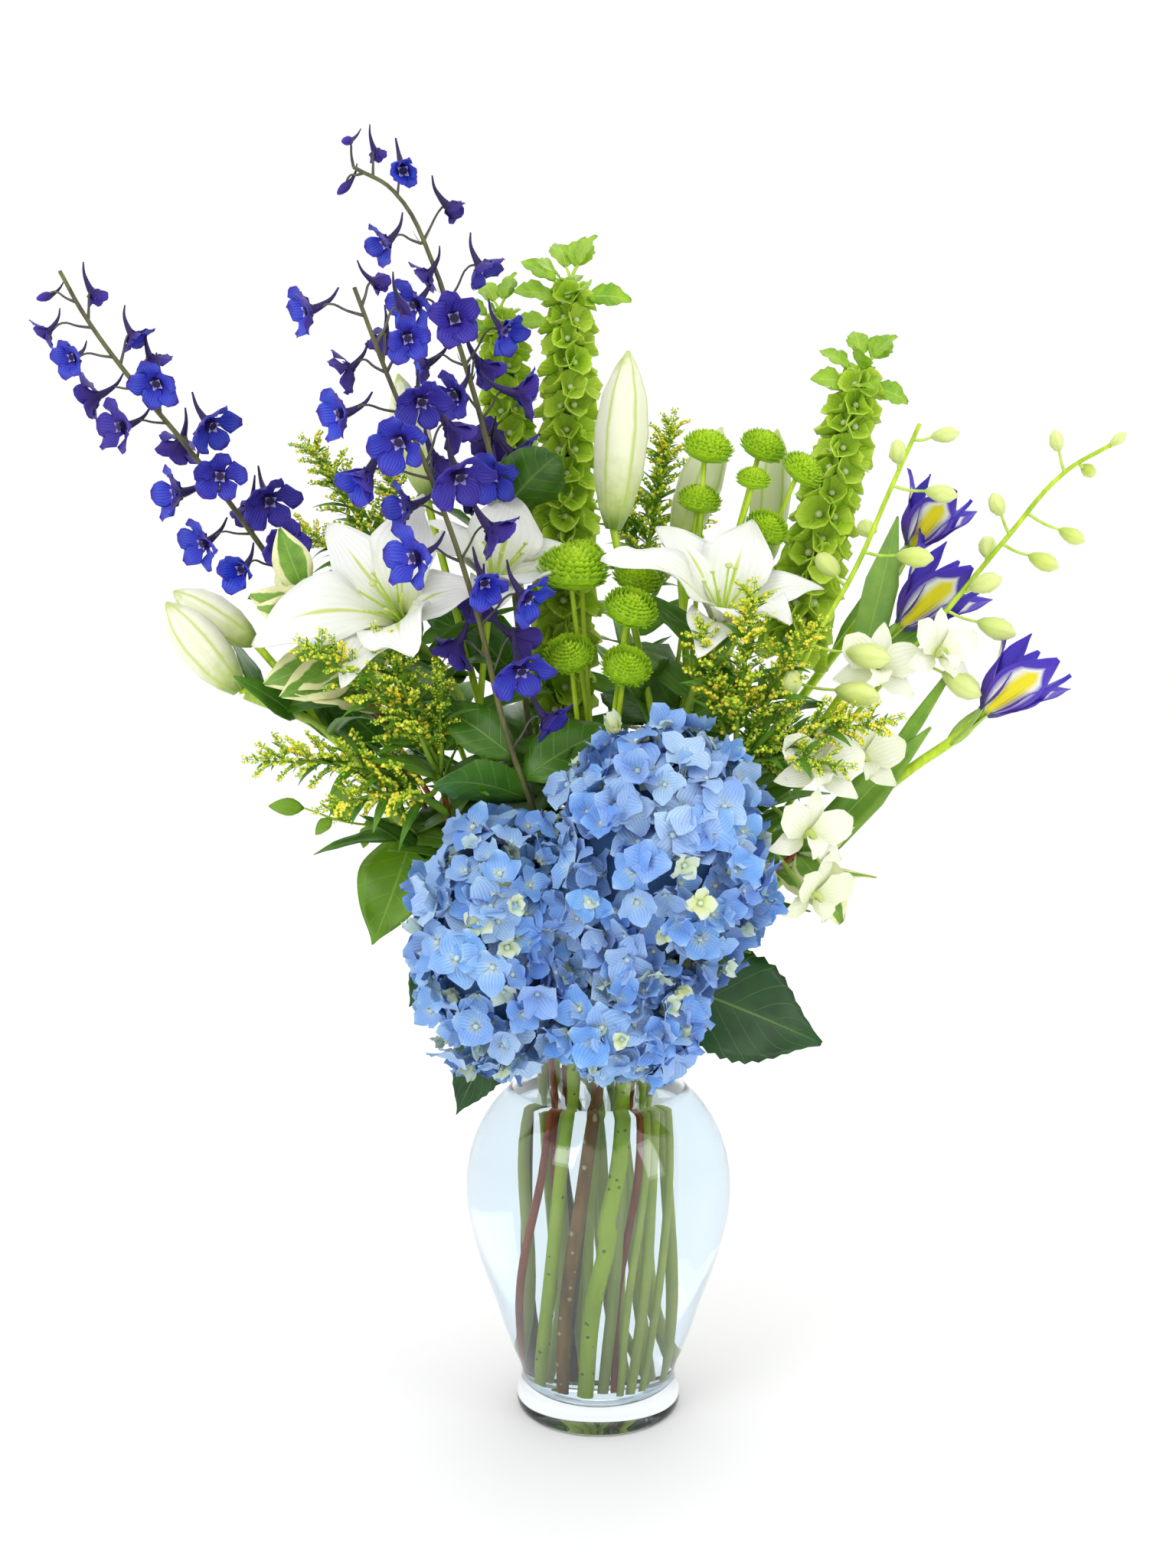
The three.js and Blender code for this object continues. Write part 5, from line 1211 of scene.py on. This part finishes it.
goldenrodLook = {  # plumes are root, tip, how many strings, how long they are and how many of them are open
    "stem": (2.0, 1.7), "buds": 40, "crowding": 1.35,
    "open": [(0.4, 0.2), (1.2, 1.4), (1.8, 2.5), (0.9, 3.1)],
    "shut": [(0.4, 0.2), (1.1, 1.1), (1.05, 2.1), (0.3, 2.7)],
    "sprays": {
        "left": {
            "path": ["outer", 12, (-50, -24, 270), (-78, -24, 330), (-86, -46, 376)], "seed": 5,
            "plumes": [
                ((-90, -62, 392), (-146, -94, 444), 20, 1.0, 0.22),
                ((-96, -52, 372), (-174, -82, 386), 22, 1.0, 0.3),
                ((-90, -62, 386), (-112, -84, 448), 17, 0.9, 0.14),
                ((-90, -60, 366), (-138, -84, 362), 16, 0.9, 0.26),
                ((-84, -56, 384), (-84, -78, 430), 12, 0.75, 0.05),
            ],
            "leaves": [
                (0.9, (0.5, -0.4, 0.8), 48), (0.95, (0.2, -0.5, 0.9), 50), (0.84, (-0.8, -0.4, 0.3), 46),
            ],
        },
        "right": {
            "path": ["outer", 2, (60, -34, 280), (76, -40, 340), (74, -58, 384)], "seed": 9,
            "plumes": [
                ((72, -66, 396), (78, -86, 470), 20, 0.95, 0.34),
                ((78, -62, 384), (148, -76, 406), 22, 0.95, 0.26),
                ((78, -62, 394), (110, -80, 452), 18, 0.9, 0.5),
                ((68, -62, 394), (52, -76, 452), 16, 0.9, 0.3),
                ((76, -66, 384), (122, -86, 384), 14, 0.8, 0.16),
            ],
            "leaves": [
                (0.94, (-0.6, -0.2, 0.8), 50), (0.86, (0.8, -0.3, 0.5), 44), (0.9, (0.9, 0.3, 0.25), 58),
                (0.8, (0.75, 0.2, 0.6), 60), (0.84, (0.4, -0.6, 0.7), 54), (0.76, (0.9, -0.2, 0.1), 52),
            ],
        },
        "back_right": {
            "path": ["outer", 7, (8, 62, 300), (18, 76, 400), (28, 76, 490)], "seed": 13,
            "plumes": [
                ((30, 76, 500), (44, 70, 572), 20, 1.0, 0.2), ((28, 78, 480), (4, 86, 540), 16, 0.9, 0.3),
                ((26, 78, 470), (66, 84, 520), 16, 0.9, 0.3),
            ],
            "leaves": [(0.8, (0.3, 0.8, 0.6), 52), (0.88, (-0.5, 0.6, 0.7), 50)],
        },
        "back_left": {
            "path": ["outer", 9, (-54, 44, 300), (-90, 58, 400), (-122, 56, 480)], "seed": 17,
            "plumes": [
                ((-128, 54, 492), (-168, 48, 556), 20, 1.0, 0.15),
                ((-122, 56, 484), (-122, 60, 548), 17, 0.9, 0.2),
                ((-126, 58, 476), (-178, 66, 508), 16, 0.9, 0.25),
            ],
            "leaves": [(0.76, (-0.4, 0.8, 0.6), 54), (0.86, (-0.9, 0.2, 0.4), 50)],
        },
    },
}
goldenBud = petalFinish("goldenBud", {
    "stops": [(0.0, (132, 184, 34)), (0.5, (186, 216, 44)), (1.0, (224, 236, 84))], "tintTo": (142, 192, 44),
    "lineColour": (180, 200, 30), "roughness": 0.7, "sheen": 0.05, "tintShare": 0.7, "lineShare": 0.1,
})
goldenFloret = petalFinish("goldenFloret", {
    "stops": [(0.0, (200, 210, 40)), (0.4, (250, 240, 50)), (1.0, (255, 248, 96))], "tintTo": (250, 226, 40),
    "lineColour": (248, 224, 20), "roughness": 0.75, "sheen": 0.05, "lineShare": 0.1,
})
goldenTwig = stemFinish("goldenTwig", {"dark": (84, 124, 22), "light": (136, 170, 44), "roughness": 0.6})
goldenLeaf = leafFinish("goldenLeaf", {
    "tintTo": (144, 184, 52), "dark": (54, 108, 18), "light": (96, 150, 34), "vein": (130, 168, 84),
    "veinShare": 0.1, "midribFine": 10,
})
goldenFoliage = {
    "count": 26, "from": (0.1, 1.0), "size": (54, 15), "outline": "pointed", "material": goldenLeaf,
    "wave": 0.4,
}


def formString(seed, openShare):  # a curved twig, 30 long, with crowded buds on its upper side
    chance = random.Random(seed)
    knots = [mm(0, 0, 0), mm(0, 10, 2.2), mm(0, 21, 2.4), mm(0, 30, -1.0)]
    pieces = [growStem(knots, [0.65, 0.5, 0.45, 0.3], goldenTwig, steps=2, roundness=0)]
    for i in range(goldenrodLook["buds"]):
        share = 0.14 + 0.86 * i / (goldenrodLook["buds"] - 1)
        opened = chance.random() < openShare
        bud = mapByHeight(turnUp(goldenrodLook["open" if opened else "shut"], 5 if opened else 4))
        lean = Vector((chance.uniform(-1.6, 1.6), chance.uniform(-0.2, 0.8), chance.uniform(-0.2, 1.4)))
        size = (1.2 - 0.35 * share) * chance.uniform(0.85, 1.15)
        place = alongPath(knots, share) + lean * 0.0014
        put(bud, standing(place, lean, xAxis, size) @ quarterTurn)
        pieces.append(dress(bud, goldenFloret if opened else goldenBud))
    for share, side in ((0.02, 1), (0.2, -1), (0.45, 1)):
        pieces.append(leafOn(
            knots, share, (side * 0.7, 0.7, -0.1), 14 - 8 * share, 3.6, "pointed", goldenLeaf, 0.5, zAxis,
            across=2, along=3, rise=0.2, bend=-0.5))
    return joinShapes(pieces, "goldenString")


budStrings = [formString(1, 0.04), formString(2, 0.16)]
flowerStrings = [formString(3, 0.45), formString(4, 0.75)]
for name, spray in goldenrodLook["sprays"].items():
    chance = random.Random(spray["seed"])
    path, pieces = mainStem(goldenrodLook, spray, redStem if name == "left" else greenStem)
    for start, finish, strings, longest, openShare in spray["plumes"]:
        root, end = mm(*start), mm(*finish)
        axis = (end - root).normalized()
        side, front = sidesOf(axis)
        plume = [root, root.lerp(end, 0.55) + mm(0, 0, 4), end]
        pieces.append(growStem([path[-1], *plume], [1.8, 1.5, 1.1, 0.6], goldenTwig))
        strings = int(strings * goldenrodLook["crowding"])
        for k in range(strings):
            share = 0.02 + 0.96 * k / strings
            out = spoke(k * 2.4 + chance.uniform(-0.3, 0.3), side, front) + Vector((0, 0, 0.25))
            size = longest * (0.9 - 0.4 * share) * chance.uniform(0.8, 1.1)
            pattern = chance.choice(flowerStrings if chance.random() < openShare else budStrings)
            matrix = standing(alongPath(plume, share), axis * chance.uniform(0.6, 1.0) + out, size=size)
            pieces.append(copyTo(pattern, matrix, chance.random()))
        pieces.append(copyTo(
            budStrings[1], standing(end - axis * 0.004, axis, Vector((0, -1, 0.3)), 0.5), 0.4))
        for k in range(9):
            pieces.append(leafOn(
                plume, 0.04 + 0.07 * k, axis * 0.8 + spoke(2.4 * k, side, front), 34 - 2 * k, 6.5,
                "pointed", goldenLeaf, 0.3 * chance.random(), across=2, along=6, rise=0.2, bend=-0.7,
                fold=0.25))
    pieces += leavesOn(path, spray["leaves"], chance, "pointed", goldenLeaf, 12, across=4, along=8, rise=0.2,
                       bend=-0.6, fold=0.25, thickness=0.35)
    pieces += leafRun(path, goldenFoliage, chance)
    finishPiece(pieces, "goldenrod_" + name, "goldenrod_florets", "goldenrod_" + name)
discard(*budStrings, *flowerStrings)
print("goldenrod made")


# --- orchid spikes

orchidLook = {  # petals are turn, length, width, rise, bend; buds end with half length, flowers with facing
    "stem": (2.1, 1.2),
    "petals": [
        (90, 25, 13, 0.1, -0.3), (205, 24, 13, 0.1, -0.4), (335, 24, 13, 0.1, -0.4),
        (150, 25, 20, 0.3, -0.35), (30, 25, 20, 0.3, -0.35),
    ],
    "budShape": [(0.3, -5), (1.5, -3.8), (2.5, -1.4), (2.9, 0.8), (2.3, 3.2), (0.4, 5.2)],
    "spikes": {
        "near": {
            "path": [
                "middle", 3, (48, -6, 300), (76, -40, 360), (98, -48, 408), (113, -48, 444), (137, -40, 485),
                (156, -30, 526), (174, -20, 564),
            ],
            "buds": [
                (187, -24, 558, 7), (160, -34, 548, 7), (183, -36, 526, 8), (146, -20, 508, 8),
                (168, -44, 492, 9), (124, -28, 488, 9), (142, -56, 440, 11), (100, -64, 426, 11),
                (136, -60, 420, 11),
            ],
            "flowers": [
                (114, -74, 380, (0.1, -0.9, 0.3)), (108, -78, 347, (0.4, -0.9, 0)),
                (112, -72, 314, (0.6, -0.7, -0.2)),
            ],
        },
        "far": {
            "path": [
                "outer", 4, (76, 4, 300), (112, -22, 366), (150, -28, 418), (184, -28, 457), (223, -24, 504),
                (253, -21, 538), (278, -20, 553),
            ],
            "buds": [
                (246, -30, 554, 6), (268, -14, 540, 6), (214, -34, 520, 7), (256, -28, 504, 7),
                (214, -14, 498, 8), (240, -32, 490, 8), (208, -36, 478, 9), (216, -30, 454, 10),
                (196, -38, 424, 11), (282, -20, 556, 5),
            ],
            "flowers": [
                (181, -44, 440, (0.5, -0.8, 0.2)), (148, -46, 432, (0.1, -0.9, 0.2)),
                (140, -50, 384, (0.3, -0.9, 0.1)),
            ],
        },
    },
}
orchidPetal = petalFinish("orchidPetal", {
    "stops": [
        (0.0, (190, 206, 110)), (0.2, (232, 236, 200)), (0.6, (248, 248, 240)), (1.0, (240, 244, 222)),
    ],
    "tintTo": (222, 232, 180), "lineColour": (216, 222, 176), "roughness": 0.4, "mottle": 110, "lines": 4,
})
orchidBud = petalFinish("orchidBud", {
    "stops": [(0.0, (168, 196, 70)), (0.5, (208, 224, 110)), (1.0, (222, 232, 140))],
    "tintTo": (232, 238, 176), "lineColour": (182, 206, 84), "roughness": 0.4, "lines": 3,
})


def formOrchid():
    pieces = []
    for number, (angle, length, width, rise, bend) in enumerate(orchidLook["petals"]):
        broad = number > 2
        out = spoke(radians(angle))
        along = (out + Vector((0, 0.2, 0))).normalized()
        matrix = standing(out * 0.001 + mm(0, 0.8 if broad else 0, 0), along, yAxis)
        pieces.append(formBlade(
            length, width, "round" if broad else "oval", orchidPetal, matrix, across=5, along=7, rise=rise,
            bend=bend, fold=0.1, wave=0.8))
    matrix = standing(mm(0, 1.5, -1), Vector((0, 0.8, -0.7)).normalized(), Vector((0, 0.8, 0.7)))
    pieces.append(formBlade(
        17, 13, "round", orchidPetal, matrix, across=5, along=6, rise=0.9, bend=-1.9, fold=0.5, wave=1.2))
    column = growStem([mm(0, -1, 0), mm(0, 4, 1.5), mm(0, 7.5, 0.5)], [2.2, 2.3, 1.6], orchidBud, steps=2)
    return joinShapes([*pieces, column], "orchidFlower")


def addChin(point):  # behind the bud
    if point.z < -0.001 and point.x > 0:
        point.x *= 1.35


orchidFlower = formOrchid()
orchidBudShape = turnPart(orchidLook["budShape"], 10, orchidBud, addChin)
for name, spike in orchidLook["spikes"].items():
    chance = random.Random(len(name) * 5)
    path, stemPieces = mainStem(orchidLook, spike, greenStem)
    pieces = []
    for x, y, z, half in spike["buds"]:
        place, root = mm(x, y, z), nearestOn(path, mm(x, y, z - 8))
        away = (place - root).normalized()
        pieces.append(copyTo(orchidBudShape, standing(place, away, size=half / 4.6), chance.random()))
        stemPieces.append(stalkTo(
            root, place - away * half * 0.00095, -1, [1.0, 0.9, 0.8], paleStem, steps=3))
    for x, y, z, facing in spike["flowers"]:
        place, root = mm(x, y, z), nearestOn(path, mm(x, y, z + 4))
        axis = Vector(facing).normalized()
        pieces.append(copyTo(orchidFlower, standing(place, axis, Vector((0.2, 0, 1))), chance.random()))
        stemPieces.append(stalkTo(root, place - axis * 0.004, 2, [1.0, 1.0, 1.4], paleStem, steps=3))
    finishPiece(pieces, "orchidFlowers_" + name, "orchid_petals", "orchid_spike_" + name)
    finishPiece(stemPieces, "orchidStem_" + name, "green_stems", "orchid_spike_" + name)
discard(orchidFlower, orchidBudShape)
print("orchids made")


# --- irises

irisLook = {  # blades are share of the stem, direction, length and width
    "stem": (2.6, 2.8),
    "plants": {
        "back": {
            "path": ["outer", 6, (48, 52, 300), (112, 44, 400), (164, 32, 474)], "base": (176, 27, 494),
            "tip": (198, 24, 530), "blades": [(0.72, (0.7, 0.5, 0.9), 90, 12)],
        },
        "middle": {
            "path": ["outer", 5, (68, 30, 300), (112, 14, 374), (148, 8, 428)], "base": (166, 6, 450),
            "tip": (203, 2, 488),
            "blades": [(0.78, (0.25, 0.1, 1), 92, 19), (0.84, (0.9, 0.1, 0.5), 60, 14)],
        },
        "low": {
            "path": ["outer", 3, (72, -16, 280), (124, -26, 336), (172, -32, 378)], "base": (205, -34, 404),
            "tip": (240, -36, 438),
            "blades": [(0.63, (0.66, -0.14, 0.75), 112, 21), (0.7, (0.54, -0.06, 0.84), 114, 8)],
        },
    },
}
irisPetal = petalFinish("irisPetal", {
    "stops": [(0.0, (110, 120, 110)), (0.12, (92, 60, 150)), (0.5, (84, 60, 190)), (1.0, (66, 44, 190))],
    "tintTo": (96, 70, 206), "lineColour": (50, 34, 150),
    "tongue": (0.8, 0.84, [(240, 240, 236), (240, 226, 40)]), "roughness": 0.5, "sheen": 0.05, "lines": 6,
    "lineShare": 0.4,
})
irisStandard = petalFinish("irisStandard", {
    "stops": [(0.0, (110, 120, 110)), (0.16, (92, 56, 150)), (0.6, (74, 54, 196)), (1.0, (58, 44, 200))],
    "tintTo": (70, 50, 170), "lineColour": (48, 34, 150), "roughness": 0.5, "sheen": 0.05, "tintShare": 0.4,
    "lines": 5, "lineShare": 0.4,
})
irisSheath = leafFinish("irisSheath", {
    "tintTo": (190, 208, 140), "dark": (116, 162, 50), "light": (166, 198, 90), "vein": (186, 206, 130),
    "veinShare": 0.1,
})
irisBladeLeaf = leafFinish("irisBladeLeaf", {
    "tintTo": (112, 152, 92), "dark": (96, 146, 24), "light": (146, 188, 48), "vein": (158, 196, 90),
    "roughness": 0.4, "mottle": 60, "veinShare": 0.08,
})
for name, plant in irisLook["plants"].items():
    chance = random.Random(len(name) + 40)
    base, tip = mm(*plant["base"]), mm(*plant["tip"])
    length, away = (tip - base).length * 1000, (tip - base).normalized()
    side, front = sidesOf(away)
    pieces = []
    for i in range(6):
        falls = i % 2 == 0
        out = spoke((i + 0.5) / 6 * 2 * pi, side, front)
        matrix = standing(base + away * 0.006 + out * 0.0028, away + out * (0.3 if falls else 0.16), out)
        pieces.append(formBlade(
            length * (1.08 if falls else 1.0), 25 if falls else 17, "oval",
            irisPetal if falls else irisStandard, matrix, across=8, along=12, bend=0.35 if falls else 0.1,
            rise=0.1, fold=-0.25 if falls else 0.5, wave=0.8, waves=2, twist=chance.uniform(-0.25, 0.25),
            thickness=0.35, tint=chance.random()))
    finishPiece(pieces, "irisBloom_" + name, "iris_petals", "iris_bloom_" + name)
    ends = [tuple((base - away * 0.012) * 1000), tuple((base + away * 0.01) * 1000)]
    path, pieces = mainStem(irisLook, plant, greenStem, 3, ends)
    for i, reach in enumerate((52, 44)):
        out = side * (1 if i else -1) + front * 0.4
        matrix = standing(base - away * 0.022 + out * 0.0015, away + out * 0.1, -out)
        pieces.append(formBlade(
            reach, 13, "pointed", irisSheath, matrix, chance.random(), across=6, along=10, rise=0.12,
            bend=-0.25, fold=0.75, thickness=0.4))
    pieces += leavesOn(path, plant["blades"], chance, "strap", irisBladeLeaf, face=(0, -0.95, 0.35),
                       across=4, along=14, rise=0.1, bend=-0.25, fold=0.3, thickness=0.5)
    finishPiece(pieces, "irisStem_" + name, "green_stems", "iris_stem_" + name)
print("irises made")


# --- leafy stems

leafyLook = {  # leaves are root, direction, length and width
    "stem": (1.9, 1.5),
    "stems": {
        "variegated_left": {
            "path": ["middle", 7, (-60, -4, 300), (-112, -20, 390), (-140, -38, 440), (-158, -44, 474)],
            "cream": True,
            "leaves": [
                ((-158, -44, 474), (-0.3, -0.2, 0.9), 36, 21), ((-150, -42, 458), (-0.9, -0.4, 0.4), 40, 24),
                ((-144, -40, 448), (0.2, -0.6, 0.9), 36, 20), ((-136, -38, 436), (-0.9, -0.5, -0.2), 48, 28),
                ((-126, -30, 418), (-0.7, -0.7, 0.1), 48, 28), ((-120, -26, 408), (-0.8, 0.6, 0.4), 46, 24),
                ((-154, -44, 466), (-0.6, 0.5, 0.7), 40, 18), ((-130, -33, 424), (0.5, -0.5, 0.6), 38, 22),
                ((-146, -42, 454), (-0.75, -0.6, 0.3), 42, 26),
                ((-134, -36, 432), (-0.8, -0.75, -0.3), 46, 26),
            ],
        },
        "variegated_right": {
            "path": ["middle", 2, (46, -22, 280), (72, -34, 300), (92, -40, 318), (108, -44, 334)],
            "cream": True,
            "leaves": [
                ((108, -44, 332), (0.5, -0.5, -0.72), 46, 30), ((108, -44, 334), (0.7, -0.3, 0.4), 34, 20),
                ((106, -43, 322), (0.98, -0.15, -0.02), 46, 5), ((96, -41, 322), (0.8, 0.3, -0.3), 42, 22),
                ((90, -39, 316), (0.5, 0.6, 0.5), 38, 18),
            ],
        },
        "foliage_left": {
            "path": ["outer", 8, (-50, 26, 290), (-84, 22, 350), (-104, 24, 410), (-112, 36, 460)],
            "cream": False,
            "leaves": [
                ((-50, 26, 290), (-0.75, -0.3, 0.2), 60, 28), ((-66, 24, 320), (-0.7, 0.7, -0.2), 62, 30),
                ((-84, 22, 350), (0.2, 0.9, 0.3), 54, 26), ((-94, 22, 380), (-0.9, 0.5, 0.5), 52, 26),
                ((-104, 24, 410), (0.5, 0.8, 0.4), 52, 24), ((-112, 36, 460), (-0.1, 0.3, 0.9), 48, 22),
                ((-56, 26, 300), (0.1, 0.9, 0.1), 60, 32), ((-76, 20, 335), (-0.5, -0.9, 0.3), 54, 28),
                ((-60, 22, 310), (0.1, -0.9, 0.5), 58, 30), ((-88, 18, 356), (-0.25, -0.8, 0.7), 54, 26),
            ],
        },
    },
    "broadLeaf": {
        "stalk": (-84, 22, 350), "root": (-104, -14, 340), "along": (-0.26, -0.42, -0.87), "length": 70,
        "width": 44,
    },
    "twig": {
        "knots": [(-84, 22, 350), (-112, -8, 344), (-138, -34, 348), (-160, -44, 357)],
        "leaves": [
            ((-112, -8, 344), (-0.2, -0.6, 0.8), 20, 13), ((-126, -24, 346), (-0.3, -0.5, -0.8), 15, 10),
            ((-138, -34, 348), (-0.1, -0.4, 0.9), 24, 17), ((-146, -38, 351), (-0.6, -0.4, -0.6), 13, 8),
            ((-160, -44, 357), (-0.95, -0.2, 0.1), 19, 10),
        ],
    },
}
creamEdgedLeaf = leafFinish("creamEdgedLeaf", {
    "tintTo": (158, 190, 92), "dark": (82, 134, 34), "light": (132, 176, 60), "vein": (160, 196, 96),
    "edge": (236, 236, 178), "edgeFrom": 1.02, "veins": 5, "veinShare": 0.3,
})
largeLeaf = leafFinish("largeLeaf", {
    "tintTo": (150, 186, 40), "dark": (74, 124, 10), "light": (112, 160, 20), "vein": (140, 180, 60),
    "roughness": 0.38, "mottle": 40, "veins": 6, "veinShare": 0.3,
})
for name, plant in leafyLook["stems"].items():
    chance = random.Random(len(name) + 60)
    cream = plant["cream"]
    path, pieces = mainStem(leafyLook, plant, redStem if cream else greenStem)
    for root, along, length, width in plant["leaves"]:
        twist = chance.uniform(-0.3, 0.3)
        face = (chance.uniform(-0.4, 0.4), -0.95, 0.4) if cream else (0, -0.5, 0.8)
        matrix = standing(mm(*root), Vector(along), Vector(face))
        pieces.append(formBlade(
            length, width, "oval", creamEdgedLeaf if cream else darkLeaf, matrix, chance.random(), across=6,
            along=10, rise=0.25, bend=-0.7, fold=0.18, wave=1.4, twist=twist, teeth=0.0 if cream else 0.03,
            thickness=0.35))
    if not cream:
        broad, twig = leafyLook["broadLeaf"], leafyLook["twig"]
        root = mm(*broad["root"])
        matrix = standing(root, Vector(broad["along"]), Vector((-0.2, -0.9, 0.3)))
        pieces.append(formBlade(
            broad["length"], broad["width"], "tipped", largeLeaf, matrix, 0.3, across=8, along=18, bend=0.2,
            fold=0.12, wave=1.2, thickness=0.4))
        pieces.append(stalkTo(mm(*broad["stalk"]), root, 2, [1.6, 1.4, 1.1], greenStem))
        knots = [mm(*knot) for knot in twig["knots"]]
        pieces.append(growStem(knots, taper(knots, 1.0, 0.5), greenStem))
        for root, along, length, width in twig["leaves"]:
            matrix = standing(mm(*root), Vector(along), Vector((chance.uniform(-0.5, 0.5), -0.9, 0.3)))
            pieces.append(formBlade(
                length, width, "oval", largeLeaf, matrix, 0.6, across=4, along=6, rise=0.1, bend=-0.4,
                fold=0.15, wave=0.5, thickness=0.3))
    finishPiece(pieces, name.replace("_", "Leaves_"), "variegated_leaves" if cream else "green_leaves", name)
print("leafy stems made")
